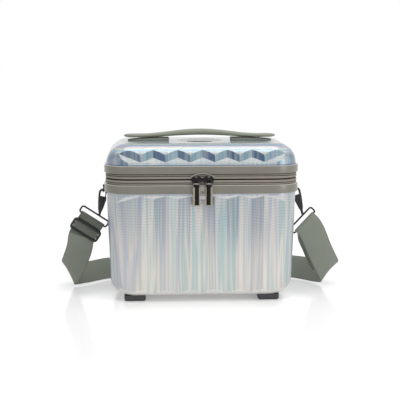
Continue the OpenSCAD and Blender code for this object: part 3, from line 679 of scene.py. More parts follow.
# %% Woven finishes
def woven(name, colour, rib, pick, relief, selvage=0.0):
    """Webbing or cloth: ribs along the piece and picks across it, on its UV map."""
    made, tree, shader = finish(name, colour, 0.8)
    shader.inputs["Sheen Weight"].default_value = 0.15
    weave = grouped(tree, weave_group, Rib=rib, Pick=pick)
    shade = math_node(tree, "MULTIPLY_ADD", weave.outputs["Shade"], 0.25, 0.85)
    if selvage:
        across = split(tree, node(tree, "ShaderNodeTexCoord").outputs["UV"])["X"]
        across = math_node(tree, "ABSOLUTE", across)
        inner = spread(tree, across, selvage + 1.2 * MM, selvage - 0.8 * MM)
        shade = times(tree, shade, math_node(tree, "MULTIPLY_ADD", inner, 0.3, 0.7))
    uneven = grouped(tree, uneven_group, Scale=18.0, Low=0.93, High=1.06)
    shown = shaded(tree, colour, times(tree, shade, uneven.outputs[0]))
    tree.links.new(shown, shader.inputs["Base Color"])
    bump(tree, shader, weave.outputs["Height"], relief, 0.8)
    return made


webbing = woven("webbing", chart(136, 142, 130), 0.0017, 0.0012, 0.0002, selvage=0.0235)
# the threaded end is the same webbing made darker: painted shade between its layers
shaded_webbing = woven("shaded_webbing", chart(106, 111, 101), 0.0017, 0.0012, 0.0002, selvage=0.0235)
tape_cloth = woven("tape_cloth", chart(146, 139, 129), 0.0008, 0.0006, 0.0001)
# the darker cloth in the tape's grooves is painted shade
groove_shade_cloth = woven("groove_shade_cloth", chart(84, 78, 70), 0.0008, 0.0006, 0.0001)
hinge_cloth = woven("hinge_cloth", chart(112, 106, 100), 0.0010, 0.0008, 0.00012)
lining_cloth = woven("lining_cloth", chart(112, 112, 116), 0.0007, 0.0007, 0.00006)
pocket_cloth = woven("pocket_cloth", chart(126, 126, 132), 0.0007, 0.0007, 0.00006)
print("finishes:", len(bpy.data.materials))

# %% [markdown]
# ## Modelling helpers
# Most pieces start from a shape that already sits in the right place: a welded copy of an imported
# node. Its edges then get a bevel, because a moulded or cast edge is never razor sharp and the
# small round catches the light. `seat` hands the finished piece to the body of the node that it
# stands for, and hides that node.


# %% Selecting, welding and bevelling
def only(piece):
    """Selects one piece and makes it the active one."""
    bpy.ops.object.select_all(action="DESELECT")
    piece.select_set(True)
    bpy.context.view_layer.objects.active = piece


def editing(piece, *steps):
    """Runs each step in edit mode, with the whole mesh selected first."""
    only(piece)
    bpy.ops.object.mode_set(mode="EDIT")
    bpy.ops.mesh.select_all(action="SELECT")
    for step in steps:
        step()
    bpy.ops.object.mode_set(mode="OBJECT")


def welded_copy(cad_name, name):
    """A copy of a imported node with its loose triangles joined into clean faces."""
    only(nodes[cad_name])
    bpy.ops.object.duplicate()
    piece = bpy.context.active_object
    piece.name = piece.data.name = name
    piece.parent = None
    for key in list(piece.keys()):
        del piece[key]
    bpy.ops.mesh.customdata_custom_splitnormals_clear()
    editing(
        piece,
        lambda: bpy.ops.mesh.remove_doubles(threshold=1e-6),
        lambda: bpy.ops.mesh.dissolve_limited(angle_limit=math.radians(0.5)),
    )
    return piece


def smoothed(piece, degrees):
    """Smooths the shading over every edge that turns by less than this."""
    only(piece)
    bpy.ops.object.shade_smooth_by_angle(angle=math.radians(degrees))
    return piece


def bevel(piece, width, segments=2, angle=30, smooth=40):
    """Rounds every edge that is sharper than angle, then smooths the shading."""
    only(piece)
    edge = piece.modifiers.new("edge", "BEVEL")
    edge.width = width
    edge.segments = segments
    edge.limit_method = "ANGLE"
    edge.angle_limit = math.radians(angle)
    bpy.ops.object.modifier_apply(modifier=edge.name)
    return smoothed(piece, smooth)


def seat(piece, cad_name):
    """Rides a piece on a node's body, and hides the node that it stands for."""
    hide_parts(cad_name)
    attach(piece, nodes[cad_name]["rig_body"])


# %% [markdown]
# ## Moulded and cast pieces
# The feet, the handle's bases, the bands and the strap's hardware already have their shape in the
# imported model. Each gets a bevel of about the round that its own mould would leave: wide on soft
# rubber and narrow on metal.

# %% Bevelled pieces
BEVELLED = [
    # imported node, new name, bevel in millimetres, finish
    ("front_left_foot", "front_left_foot_pad", 0.9, foot_rubber),
    ("front_right_foot", "front_right_foot_pad", 0.9, foot_rubber),
    ("rear_left_foot", "rear_left_foot_pad", 0.9, foot_rubber),
    ("rear_right_foot", "rear_right_foot_pad", 0.9, foot_rubber),
    ("left_handle_mount", "left_handle_base", 0.9, mount_plastic),
    ("right_handle_mount", "right_handle_base", 0.9, mount_plastic),
    ("top_plate", "grip_plate", 0.25, plate_metal),
    ("base_band", "base_rim_band", 1.2, band_rubber),
    ("lid_band", "lid_rim_band", 1.2, band_rubber),
    ("slider_hood", "zip_garage_rim", 0.5, tab_rubber),
    ("slider_tab", "zip_tab", 0.4, tab_rubber),
    ("left_hook", "left_snap_hook", 0.45, strap_black),
    ("right_hook", "right_snap_hook", 0.45, strap_black),
    ("left_ring_bracket", "left_ring_tab", 0.3, strap_black),
    ("right_ring_bracket", "right_ring_tab", 0.3, strap_black),
]
for cad_name, name, width, material in BEVELLED:
    piece = bevel(welded_copy(cad_name, name), width * MM)
    paint(piece, material)
    seat(piece, cad_name)
print("bevelled:", len(BEVELLED))

# %% [markdown]
# ## The fluted shells
# The flutes meet at shallow angles, so the shells' bevel is fine and takes in flatter edges than
# the other pieces' does. Weighted normals let the large flat faces keep one even shade, and leave
# the bending to the narrow rounds between them, as on a moulded sheet.

# %% Fluted shells
for cad_name, name, material in (
    ("base_shell", "fluted_base", base_film),
    ("lid_shell", "fluted_lid", lid_film),
):
    piece = bevel(welded_copy(cad_name, name), 0.6 * MM, angle=15, smooth=25)
    flats = piece.modifiers.new("flats", "WEIGHTED_NORMAL")
    flats.keep_sharp = True
    bpy.ops.object.modifier_apply(modifier=flats.name)
    paint(piece, material)
    seat(piece, cad_name)
    print(name, "faces:", len(piece.data.polygons))

# %% [markdown]
# ## The zip
# Two cloth tapes are sewn to the bands. Each has a rolled lip next to the slit in which the
# sliders run, and a seam groove next to its band. A tape is one profile carried all the way
# round the rim: four straight extrusions and four quarter turns of the spin tool. Behind the
# slit sit the two coils, each a single nylon wire wound in flat loops.


# %% Carrying a profile round the rim
CORNER_STEPS = 14


def raw_piece(name, places, edges, faces):
    """A new mesh object from places, edges and faces."""
    mesh = bpy.data.meshes.new(name)
    mesh.from_pydata(places, edges, faces)
    piece = bpy.data.objects.new(name, mesh)
    bpy.context.scene.collection.objects.link(piece)
    return piece


def carry_round_rim(name, points):
    """Carries a profile once round the rim and closes it."""
    side = middle.x + shell_w / 2
    places = [(side + out * MM, middle.y - SIDE_Y, up * MM) for out, up in points]
    edges = [(i, (i + 1) % len(points)) for i in range(len(points))]
    only(raw_piece(name, places, edges, []))
    bpy.ops.object.mode_set(mode="EDIT")
    bpy.ops.mesh.select_all(action="SELECT")
    legs = [(0, 2 * SIDE_Y), (-2 * SIDE_X, 0), (0, -2 * SIDE_Y), (2 * SIDE_X, 0)]
    corners = [(SIDE_X, SIDE_Y), (-SIDE_X, SIDE_Y), (-SIDE_X, -SIDE_Y), (SIDE_X, -SIDE_Y)]
    for (dx, dy), (cx, cy) in zip(legs, corners):
        bpy.ops.mesh.extrude_region_move(TRANSFORM_OT_translate={"value": (dx, dy, 0)})
        bpy.ops.mesh.spin(
            steps=CORNER_STEPS,
            angle=-math.pi / 2,
            center=(middle.x + cx, middle.y + cy, 0),
            axis=(0, 0, 1),
        )
    bpy.ops.mesh.select_all(action="SELECT")
    bpy.ops.mesh.remove_doubles(threshold=1e-6)
    bpy.ops.mesh.normals_make_consistent(inside=False)
    bpy.ops.object.mode_set(mode="OBJECT")
    return smoothed(bpy.context.active_object, 50)


print("steps to a corner:", CORNER_STEPS)

# %% [markdown]
# The weave has to follow the rim, so a tape's UV map is measured along it: V is the distance
# round the rim in metres, and U is the height. The distance starts at the middle of the right
# side, so a face that crosses that place has a full round added to its low end.


# %% A UV map round the rim
def rim_distance(place):
    """How far round the rim a place lies, in metres from the middle of the right side."""
    x, y = place.x - middle.x, place.y - middle.y
    fold_x, fold_y = abs(x), abs(y)
    if fold_y <= SIDE_Y:
        part = fold_y
    elif fold_x <= SIDE_X:
        part = SIDE_Y + TURN + SIDE_X - fold_x
    else:
        part = SIDE_Y + PLAN_R * math.atan2(fold_y - SIDE_Y, fold_x - SIDE_X)
    if x >= 0:
        return part if y >= 0 else 4 * QUARTER - part
    return 2 * QUARTER - part if y >= 0 else 2 * QUARTER + part


def rim_uv(piece):
    """UV map in metres: U is the height, V the distance round the rim."""
    layer = piece.data.uv_layers.new(name="UVMap")
    for face in piece.data.polygons:
        places = [piece.data.vertices[v].co for v in face.vertices]
        rounds = [rim_distance(p) for p in places]
        if max(rounds) - min(rounds) > 2 * QUARTER:  # the face crosses the start of the round
            rounds = [r + 4 * QUARTER if r < 2 * QUARTER else r for r in rounds]
        for loop, place, far in zip(face.loop_indices, places, rounds):
            layer.data[loop].uv = (place.z + place.x * 0.2, far)


print("left side's middle is", round(rim_distance(at(-100, 0, 0)), 4), "m round the rim")

# %% [markdown]
# Both tapes have one profile, and the lid's is the base's turned over about the parting line. The
# rolled lip and the two seam grooves are in the shape itself, and the grooves take a darker cloth
# as painted shade.

# %% Tapes
PART_Z = 229.5
TAPE_H = 10
BASE_TOP_Z = PART_Z - TAPE_H
TAPE_PROFILE = [
    # outwards, up from the band
    (-5.0, 0.0),
    (-0.7, 0.0),
    (-0.7, 0.7),
    (0.7, 1.1),
    (1.3, 1.7),
    (1.3, 2.5),
    (0.7, 3.1),
    (-0.3, 3.4),
    (-0.3, 4.1),
    (0.9, 4.4),
    (1.6, 5.2),
    (1.6, 7.6),
    (1.1, 8.6),
    (0.2, 9.0),
    (-0.6, 9.0),
    (-0.6, 4.6),
    (-5.0, 4.6),
]
# the grooves take the darker cloth, as painted shade
GROOVES = [(0.0, 0.9), (3.2, 4.3), (8.7, 9.1)]  # the darker parts, up from the band
base_tape = carry_round_rim(
    "base_woven_tape", [(out, BASE_TOP_Z + up) for out, up in TAPE_PROFILE]
)
lid_tape = carry_round_rim(
    "lid_woven_tape", [(out, 2 * PART_Z - BASE_TOP_Z - up) for out, up in TAPE_PROFILE]
)
for piece, cad_name in ((base_tape, "base_zip_tape"), (lid_tape, "lid_zip_tape")):
    rim_uv(piece)
    paint(piece, tape_cloth, groove_shade_cloth)
    for face in piece.data.polygons:
        up = TAPE_H - abs(face.center.z / MM - PART_Z)
        face.material_index = int(any(low < up < high for low, high in GROOVES))
    seat(piece, cad_name)
print("tape faces:", len(base_tape.data.polygons))

# %% [markdown]
# The teeth of such a zip are one nylon wire to each tape, wound as a flat spiral and sewn down. A
# curve follows that spiral round the rim, gets a round section from its own bevel, and is turned
# into a mesh. `tube` makes such a wire from any path, and later the adjuster, the pipings and the
# pocket's hem as well.


# %% Wires and places round the rim
def tube(name, path, radius, sides=4, closed=False):
    """A round tube along a path, made as a bevelled curve and turned into a mesh."""
    data = bpy.data.curves.new(name, "CURVE")
    data.dimensions = "3D"
    data.bevel_depth = radius
    data.bevel_resolution = max(0, sides // 2 - 2)
    data.use_fill_caps = not closed
    spline = data.splines.new("POLY")
    spline.points.add(len(path) - 1)
    for point, place in zip(spline.points, path):
        point.co = (*place, 1)
    spline.use_cyclic_u = closed
    made = bpy.data.objects.new(name, data)
    bpy.context.scene.collection.objects.link(made)
    only(made)
    bpy.ops.object.convert(target="MESH")
    bpy.ops.object.shade_smooth()
    return bpy.context.active_object


def rim_place(distance, out, up):
    """The place at a distance round the rim, out from the shell's face, at a height in mm."""
    lap, rest = divmod(distance, QUARTER)
    lap = int(lap) % 4
    if lap % 2:
        rest = QUARTER - rest
    if rest < SIDE_Y:
        x, y, nx, ny = shell_w / 2, rest, 1.0, 0.0
    elif rest < SIDE_Y + TURN:
        angle = (rest - SIDE_Y) / PLAN_R
        nx, ny = math.cos(angle), math.sin(angle)
        x, y = SIDE_X + PLAN_R * nx, SIDE_Y + PLAN_R * ny
    else:
        x, y, nx, ny = SIDE_X - (rest - SIDE_Y - TURN), shell_d / 2, 0.0, 1.0
    x, y = x + nx * out * MM, y + ny * out * MM
    right = 1 if lap in (0, 3) else -1
    back = 1 if lap in (0, 1) else -1
    return Vector((middle.x + right * x, middle.y + back * y, up * MM))


print("a quarter round:", [round(c, 3) for c in rim_place(QUARTER, 0, PART_Z)])

# %% [markdown]
# There are hundreds of loops in a coil, so each has few points and the wire has only four sides.

# %% Coils
COIL_STEP = 2.0
COIL_OUT = -4.2
WIRE_R = 0.3
LOOP_POINTS = 8


def coil(name, low_z, high_z):
    """One nylon wire wound in flat upright loops, all the way round the rim."""
    loops = round(4 * QUARTER / (COIL_STEP * MM))
    path = []
    for i in range(loops * LOOP_POINTS):
        angle = 2 * math.pi * i / LOOP_POINTS
        out = COIL_OUT + 0.5 * math.cos(angle)
        up = (low_z + high_z) / 2 + ((high_z - low_z) / 2 - WIRE_R) * math.sin(angle)
        path.append(rim_place(4 * QUARTER * i / (loops * LOOP_POINTS), out, up))
    return tube(name, path, WIRE_R * MM, closed=True)


base_coil = coil("base_coil_wire", BASE_TOP_Z + 4.9, PART_Z - 0.2)
lid_coil = coil("lid_coil_wire", PART_Z + 0.2, PART_Z + TAPE_H - 4.9)
for piece, cad_name in ((base_coil, "base_zip_coil"), (lid_coil, "lid_zip_coil")):
    paint(piece, coil_nylon)
    seat(piece, cad_name)
print("coil faces:", len(base_coil.data.polygons))

# %% [markdown]
# ## Sliders and pulls
# The small castings are flat shapes with a thickness, so each is drawn as an outline, filled, and
# extruded in edit mode. Its place is then applied, because a finished piece has its place in its
# mesh and its object at the origin.


# %% Cutting out, placing and joining
def shape(name, points, plane, depth):
    """A closed outline in millimetres, pushed through along the axis that it doesn't use."""
    points = [(a * MM, b * MM) for a, b in points]
    if plane == "YZ":
        places, push = [(0, a, b) for a, b in points], (depth * MM, 0, 0)
    else:
        places, push = [(a, 0, b) for a, b in points], (0, depth * MM, 0)
    piece = raw_piece(name, places, [], [list(range(len(points)))])
    editing(
        piece,
        lambda: bpy.ops.mesh.extrude_region_move(TRANSFORM_OT_translate={"value": push}),
        lambda: bpy.ops.mesh.select_all(action="SELECT"),
        lambda: bpy.ops.mesh.normals_make_consistent(inside=False),
    )
    return piece


def placed(piece, offset):
    """Moves a piece and bakes the move into its mesh."""
    piece.location = offset
    only(piece)
    bpy.ops.object.transform_apply(location=True, rotation=True, scale=True)
    return piece


def joined(name, pieces):
    """Joins pieces into the first of them."""
    bpy.ops.object.select_all(action="DESELECT")
    for piece in pieces:
        piece.select_set(True)
    bpy.context.view_layer.objects.active = pieces[0]
    bpy.ops.object.join()
    pieces[0].name = pieces[0].data.name = name
    return pieces[0]


FRONT_Y = -shell_d / 2 / MM
print("front face at", round(FRONT_Y, 1), "mm")

# %% [markdown]
# Each slider is a cast plate with a crown on it, a nose that points away from its twin, and two
# cheeks that carry the pin of its pull. The pull is a satin frame round a dark inlay. Its inner
# rail is the narrow one, so the two pulls mirror each other.

# %% Sliders and pulls
PAIR_X = -0.6
SLIDER_GAP = 23
CROWN_W = 5.2
CROWN_LINE = [
    # outwards, up from the slit
    (3.2, 6.2),
    (5.0, 5.4),
    (5.9, 3.2),
    (5.9, -1.6),
    (5.0, -3.4),
    (3.2, -3.8),
]
NOSE_LINE = [(5.0, 5.6), (11.2, 3.4), (11.2, -3.4), (5.0, -5.6)]
BAIL_Z, BAIL_OUT = PART_Z - 9, 7.6
EYE_R, EYE_LEN = 2.9, 7
PULL_HALF, PULL_LEN = 6.5, 39
RAIL_T, PANEL_T = 2.4, 1.7
OUTER_RAIL, INNER_RAIL, FOOT_RAIL = 3.6, 1.7, 2.2
for side, word in ((-1, "left"), (1, "right")):
    x = PAIR_X + side * SLIDER_GAP / 2
    casting = bevel(welded_copy(word + "_slider", word + "_slider_casting"), 0.35 * MM)
    crown = shape(word + "_crown", [(-out, up) for out, up in CROWN_LINE], "YZ", CROWN_W)
    placed(crown, at(x - CROWN_W / 2, FRONT_Y, PART_Z))
    bevel(crown, 1.1 * MM, segments=3)
    nose = shape(word + "_nose", [(-side * out, up) for out, up in NOSE_LINE], "XZ", 1.5)
    placed(nose, at(x, FRONT_Y - 3.55, PART_Z))
    bevel(nose, 0.35 * MM)
    casting = joined(word + "_slider_casting", [casting, crown, nose])
    paint(casting, gunmetal)
    seat(casting, word + "_slider")

    # the rails are open at the top, so the inlay runs up under the slider
    top, foot = BAIL_Z - 4.3, BAIL_Z - PULL_LEN
    left_rail, right_rail = (OUTER_RAIL, INNER_RAIL) if side < 0 else (INNER_RAIL, OUTER_RAIL)
    left_in, right_in = left_rail - PULL_HALF, PULL_HALF - right_rail
    rail_line = [
        (-PULL_HALF, top),
        (-PULL_HALF, foot),
        (PULL_HALF, foot),
        (PULL_HALF, top),
        (right_in, top),
        (right_in, foot + FOOT_RAIL),
        (left_in, foot + FOOT_RAIL),
        (left_in, top),
    ]
    rails = shape(word + "_pull_frame", rail_line, "XZ", RAIL_T)
    placed(rails, at(x, FRONT_Y - BAIL_OUT - 1.25, 0))
    bevel(rails, 0.3 * MM)
    paint(rails, champagne)
    seat(rails, word + "_pull")

    panel_line = [
        (left_in, foot + FOOT_RAIL),
        (right_in, foot + FOOT_RAIL),
        (right_in, top + 0.1),
        (3.4, top + 2.6),
        (-3.4, top + 2.6),
        (left_in, top + 0.1),
    ]
    panel = shape(word + "_pull_inset", panel_line, "XZ", PANEL_T)
    placed(panel, at(x, FRONT_Y - BAIL_OUT - PANEL_T / 2, 0))
    bevel(panel, 0.2 * MM)
    paint(panel, inlay_dark)
    seat(panel, word + "_pull_inlay")

    bpy.ops.object.select_all(action="DESELECT")
    bpy.ops.mesh.primitive_cylinder_add(
        vertices=32,
        radius=EYE_R * MM,
        depth=EYE_LEN * MM,
        location=at(x, FRONT_Y - BAIL_OUT, BAIL_Z),
        rotation=(0, math.pi / 2, 0),
    )
    eye = placed(bpy.context.active_object, bpy.context.active_object.location)
    eye.name = eye.data.name = word + "_pull_eye"
    bevel(eye, 0.5 * MM)
    paint(eye, gunmetal)
    seat(eye, word + "_pull")
    print(word, "pull at", round(x, 1), "faces:", len(rails.data.polygons))

# %% [markdown]
# ## The soft handle
# The grip is moulded rubber. Its section is a flattened oval that swells from thin flat ends to a
# thick middle, so the mesh is a run of oval rings along its length.

# %% The grip's rings
HANDLE_LEN, HANDLE_W = 288, 30
HANDLE_Z = 299.7
END_T, MIDDLE_T = 6.5, 11.5
HANDLE_RISE = 4.125
WAIST = 3.4
RING = 28
TIP, TIP_STEPS, GRIP_STEPS = 14, 8, 48


def swell(x):
    """A smooth step from 0 at the flat ends to 1 at the middle of the grip."""
    share = min(1, max(0, 1 - abs(x) / (HANDLE_LEN * 0.4)))
    return (1 - math.cos(math.pi * share)) / 2


def handle_ring(x, tip):
    """One oval ring. tip is 1 along the grip and falls to 0 at its very end."""
    grown = swell(x)
    low = HANDLE_Z + HANDLE_RISE * grown
    high = HANDLE_Z + END_T + (HANDLE_RISE + MIDDLE_T - END_T) * grown
    half_w = (HANDLE_W / 2 - WAIST * grown) * tip
    half_t = (high - low) / 2 * (0.25 + 0.75 * tip)
    ring = []
    for i in range(RING):
        angle = 2 * math.pi * i / RING
        c, s = math.cos(angle), math.sin(angle)
        y = half_w * math.copysign(abs(c) ** 0.62, c)
        z = half_t * math.copysign(abs(s) ** (0.5 + 0.3 * grown), s)
        ring.append(at(x, y, (low + high) / 2 + z))
    return ring


def skin(name, rings):
    """A closed skin over a run of rings with equal numbers of points."""
    count = len(rings[0])
    places = [p for ring in rings for p in ring]
    faces = []
    for low in range(0, len(places) - count, count):
        high = low + count
        for i in range(count):
            k = (i + 1) % count
            faces.append((low + i, high + i, high + k, low + k))
    faces.append(tuple(range(count)))
    faces.append(tuple(reversed(range(len(places) - count, len(places)))))
    piece = raw_piece(name, places, [], faces)
    editing(piece, lambda: bpy.ops.mesh.normals_make_consistent(inside=False))
    return piece


print("grip:", HANDLE_LEN, "by", HANDLE_W, "mm, rings of", RING)

# %% [markdown]
# The rings stand evenly along the grip. At each tip they crowd together and shrink along a
# quarter circle, so that the end closes round instead of square.

# %% Handle
stations = []
for step in range(TIP_STEPS):
    angle = math.pi / 2 * step / TIP_STEPS
    stations.append((-HANDLE_LEN / 2 + TIP * (1 - math.cos(angle)), math.sin(angle)))
for step in range(GRIP_STEPS + 1):
    stations.append((-HANDLE_LEN / 2 + TIP + (HANDLE_LEN - 2 * TIP) * step / GRIP_STEPS, 1.0))
stations += [(-x, tip) for x, tip in reversed(stations[:TIP_STEPS])]
grip = skin("soft_grip", [handle_ring(x, max(tip, 0.04)) for x, tip in stations])
smoothed(grip, 60)
paint(grip, grip_rubber)
seat(grip, "carry_handle")
print("grip faces:", len(grip.data.polygons))

# %% [markdown]
# ## The strap
# The shoulder strap is one length of 50 mm webbing. It starts sewn round the adjuster's middle
# bar on the left, runs round the left loop and back through the adjuster, drops to the ground,
# passes behind the case on its edge, climbs on the right, turns round the right loop and is sewn
# back on itself. One smooth line runs through all of it. The sheets are cut from that line where
# the tape passes from one moving body to the next, and neighbours share their cut.

# %% Stations of the strap
WEB_W, WEB_T = 50, 1.8
RING_X, RING_Z = 182.8, 207.5  # the side rings' bars, out and up
LOOP_BAR = 6.4
TURN_R = 3  # the tape's round about a loop's bar
LOOPS = {
    # side: hang of the hook and lean of the loop in degrees, hook with its swivel, post's offset
    -1: (9.8, 33, 59.3, -7.5),
    1: (16.2, 47, 62.9, 8.0),
}


def on_loop(side, back, up):
    """A station in the plane of a strap loop: its place and the direction across the tape."""
    hang, lean, reach, post = LOOPS[side]
    c, s = math.cos(math.radians(lean)), math.sin(math.radians(lean))
    out = RING_X + math.sin(math.radians(hang)) * reach - c * post + s * LOOP_BAR
    height = RING_Z - math.cos(math.radians(hang)) * reach - s * post - c * LOOP_BAR
    return (side * (out - s * up), back, height + c * up), (side * c, 0, s)


half_turn = [
    (TURN_R * math.cos(math.radians(a)), TURN_R * math.sin(math.radians(a)) - LOOP_BAR)
    for a in range(0, 181, 30)
]
left_threading = [
    on_loop(-1, back, up)
    for back, up in [(2.9, -31.5), (4.6, -26), (5, -20.2), (4.2, -14), (3.3, -9)]
    + half_turn
    + [(-2.7, -10.5), (0.4, -15), (3.1, -20.2), (0.4, -25.5), (-2.8, -31), (0.2, -36.5)]
    + [(3.1, -41.8), (2.7, -46.3)]
]
left_fall = [
    ((-232, 7, 86.6), (-0.85, 0, 0.53)),
    ((-239, 15, 65.8), (-0.84, 0.03, 0.54)),
    ((-247, 27, 47), (-0.74, 0.08, 0.67)),
    ((-253, 40, 33.4), (-0.58, 0.1, 0.81)),
    ((-256, 52, 27), (-0.45, 0.06, 0.89)),
    ((-254, 62, 25), (-0.43, 0.02, 0.9)),
    ((-247, 71, 23), (-0.46, 0.26, 0.84)),
    ((-235.7, 82.4, 20.5), (-0.53, 0.46, 0.72)),
]
rear_run = [
    ((-222, 98, 19), (-0.52, 0.54, 0.66)),
    ((-204, 117, 18.5), (-0.48, 0.58, 0.66)),
    ((-178, 136, 19), (-0.36, 0.6, 0.7)),
    ((-140, 151, 19.6), (-0.2, 0.64, 0.74)),
    ((-80, 159, 19.8), (-0.06, 0.66, 0.75)),
    ((0, 162, 20.2), (0, 0.64, 0.77)),
    ((80, 159, 20), (0.06, 0.65, 0.76)),
    ((135, 152, 20), (0.2, 0.62, 0.76)),
    ((173, 138, 20.4), (0.36, 0.52, 0.77)),
    ((203, 117, 21), (0.47, 0.4, 0.79)),
    ((224, 96, 21.6), (0.52, 0.28, 0.8)),
    ((239.7, 76.4, 22), (0.54, 0.2, 0.82)),
]
right_fall = [
    ((250, 63, 23), (0.56, 0.12, 0.82)),
    ((257, 52, 24.5), (0.6, 0.02, 0.8)),
    ((260, 42, 27), (0.63, 0.02, 0.78)),
    ((258.5, 33, 33), (0.7, 0, 0.71)),
    ((253.5, 25, 43), (0.81, 0, 0.58)),
    ((245.5, 17, 57.4), (0.87, 0, 0.49)),
    ((234, 9, 80.4), (0.86, 0, 0.51)),
    ((221, 1, 110.5), (0.77, 0, 0.64)),
    on_loop(1, -1.4, -17.2),
]
right_threading = [
    on_loop(1, back, up)
    for back, up in [(-2.2, -13), (-3.1, -8.5)]
    + half_turn[::-1]
    + [(3.1, -8.5), (2.2, -13), (1.4, -17.2)]
]
right_tail = [
    ((215.5, 9, 106.7), (0.72, 0, 0.69)),
    ((225, 18, 87.5), (0.75, 0, 0.66)),
    ((234, 25, 68), (0.77, 0, 0.64)),
    ((242, 31, 54), (0.8, 0, 0.6)),
    ((248.5, 36, 43.5), (0.78, 0, 0.62)),
]
PARTS = [
    ("left_strap_threading", left_threading),
    ("left_strap_drop", left_fall),
    ("strap_behind_case", rear_run),
    ("right_strap_climb", right_fall),
    ("right_strap_turn", right_threading),
    ("right_sewn_tail", right_tail),
]
print("stations:", {name: len(part) for name, part in PARTS})

# %% [markdown]
# Webbing bends easily one way and hardly at all the other, so its line must have no kinks. Each
# span between two stations is a cubic curve that leaves and arrives in its neighbours' direction,
# and the direction across the tape eases over from one station to the next. The section is flat
# and thins towards the selvages.

# %% The strap's line and section
STEP_LEN = 3.5
ACROSS = 9


def smooth_line(stations):
    """Points, directions across and station numbers along a smooth line through all stations."""
    last = len(stations) - 1
    places = [Vector(place) for place, _ in stations]
    across = [Vector(direction) for _, direction in stations]
    line = []
    for i in range(last):
        p0, p1, p2, p3 = (places[min(max(j, 0), last)] for j in range(i - 1, i + 3))
        before, here, after = (p1 - p0).length, (p2 - p1).length, (p3 - p2).length
        leaving = (p2 - p0) * (here / (before + here))
        arriving = (p3 - p1) * (here / (here + after))
        steps = max(2, round(here / STEP_LEN))
        for step in range(steps):
            t = step / steps
            ease = t * t * (3 - 2 * t)
            place = p1 * (1 - ease) + p2 * ease
            place += leaving * (t * (1 - t) ** 2) - arriving * (t**2 * (1 - t))
            line.append((place, across[i].lerp(across[i + 1], ease), i))
    line.append((places[-1], across[-1], last))
    return line


def tape_ring(line, i):
    """The section of the tape at one point of the line, with its distances across."""
    here, across, _ = line[i]
    ahead = line[min(i + 1, len(line) - 1)][0] - line[max(i - 1, 0)][0]
    ahead.normalize()
    across = (across - ahead * across.dot(ahead)).normalized()
    normal = ahead.cross(across).normalized()
    ring = []
    for face in (1, -1):
        for k in range(ACROSS):
            u = (-1 + 2 * k / (ACROSS - 1)) * face
            edge = 0.55 if abs(u) > 0.99 else 1.0
            place = here + across * (u * WEB_W / 2) + normal * (face * WEB_T / 2 * edge)
            ring.append((at(*place), u * WEB_W / 2 * MM))
    return ring


def tape_sheet(name, line, first, last, start_v):
    """A closed length of webbing between two points of the line, with its UV map in metres."""
    rings = [tape_ring(line, i) for i in range(first, last + 1)]
    piece = skin(name, [[p for p, _ in ring] for ring in rings])
    v, along = [start_v], start_v
    for i in range(first, last):
        along += (line[i + 1][0] - line[i][0]).length * MM
        v.append(along)
    count = len(rings[0])
    uv = piece.data.uv_layers.new(name="UVMap")
    for loop in piece.data.loops:
        ring_number, k = divmod(loop.vertex_index, count)
        uv.data[loop.index].uv = (rings[ring_number][k][1], v[ring_number])
    smoothed(piece, 50)
    paint(piece, webbing)
    return piece, along


line = smooth_line([station for _, part in PARTS for station in part])
print("points on the strap's line:", len(line))

# %% [markdown]
# The line is now cut at the stations where one part ends, and each part becomes a sheet of its
# own. The threaded part and the right turn ride on their loops, and the rear run stays with the
# case. The three hanging parts stay where they are drawn, and the imported falls that they stand
# for are hidden.

# %% The strap's sheets
cuts, passed = [0], -1
for _, part in PARTS:
    passed += len(part)
    cuts.append(next(i for i, point in enumerate(line) if point[2] >= passed))
tapes, lengths, along = {}, {}, 0.0
for (name, _), first, last in zip(PARTS, cuts, cuts[1:]):
    before = along
    tapes[name], along = tape_sheet(name, line, first, last, along)
    lengths[name] = round(along - before, 4)
print("strap lengths in metres:", lengths, "whole:", round(along, 3))

paint(tapes["left_strap_threading"], shaded_webbing)
seat(tapes["left_strap_threading"], "left_strap_end")
seat(tapes["strap_behind_case"], "strap_rear_run")
seat(tapes["right_strap_turn"], "right_strap_end")
left_ends = at(-229, 5, 97), at(-253, 60, 30)
right_ends = at(214, 1, 112), at(255, 50, 30)
for name, fall, link, (upper_end, ground_end) in (
    ("left_strap_drop", "left_strap_fall", "left_link", left_ends),
    ("right_strap_climb", "right_strap_fall", "right_link", right_ends),
    ("right_sewn_tail", "right_strap_fall", "right_link", right_ends),
):
    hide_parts(fall)
    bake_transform(tapes[name])

# %% [markdown]
# ## The adjuster
# The adjuster is moulded: a broad flat frame with a round bar across its middle. It is drawn
# upright at the middle of its loop's plane, and then leaned over and moved as its station says.

# %% Adjuster
ADJUSTER_DROP = 31
HALF_X, HALF_Z, CORNER_R = 27.9, 10.5, 5
FRAME_R, BAR_R, BAR_SIDES = 2.5, 1.5, 12
FRAME_FLATNESS = 0.72


def round_corners(half_x, half_y, radius, steps):
    """The outline of a rectangle with round corners, with so many steps to a corner."""
    path = []
    for sx, sy, first in ((1, 1, 0), (-1, 1, 90), (-1, -1, 180), (1, -1, 270)):
        for step in range(steps + 1):
            angle = math.radians(first + 90 * step / steps)
            x = sx * (half_x - radius) + radius * math.cos(angle)
            path.append((x, sy * (half_y - radius) + radius * math.sin(angle)))
    return path


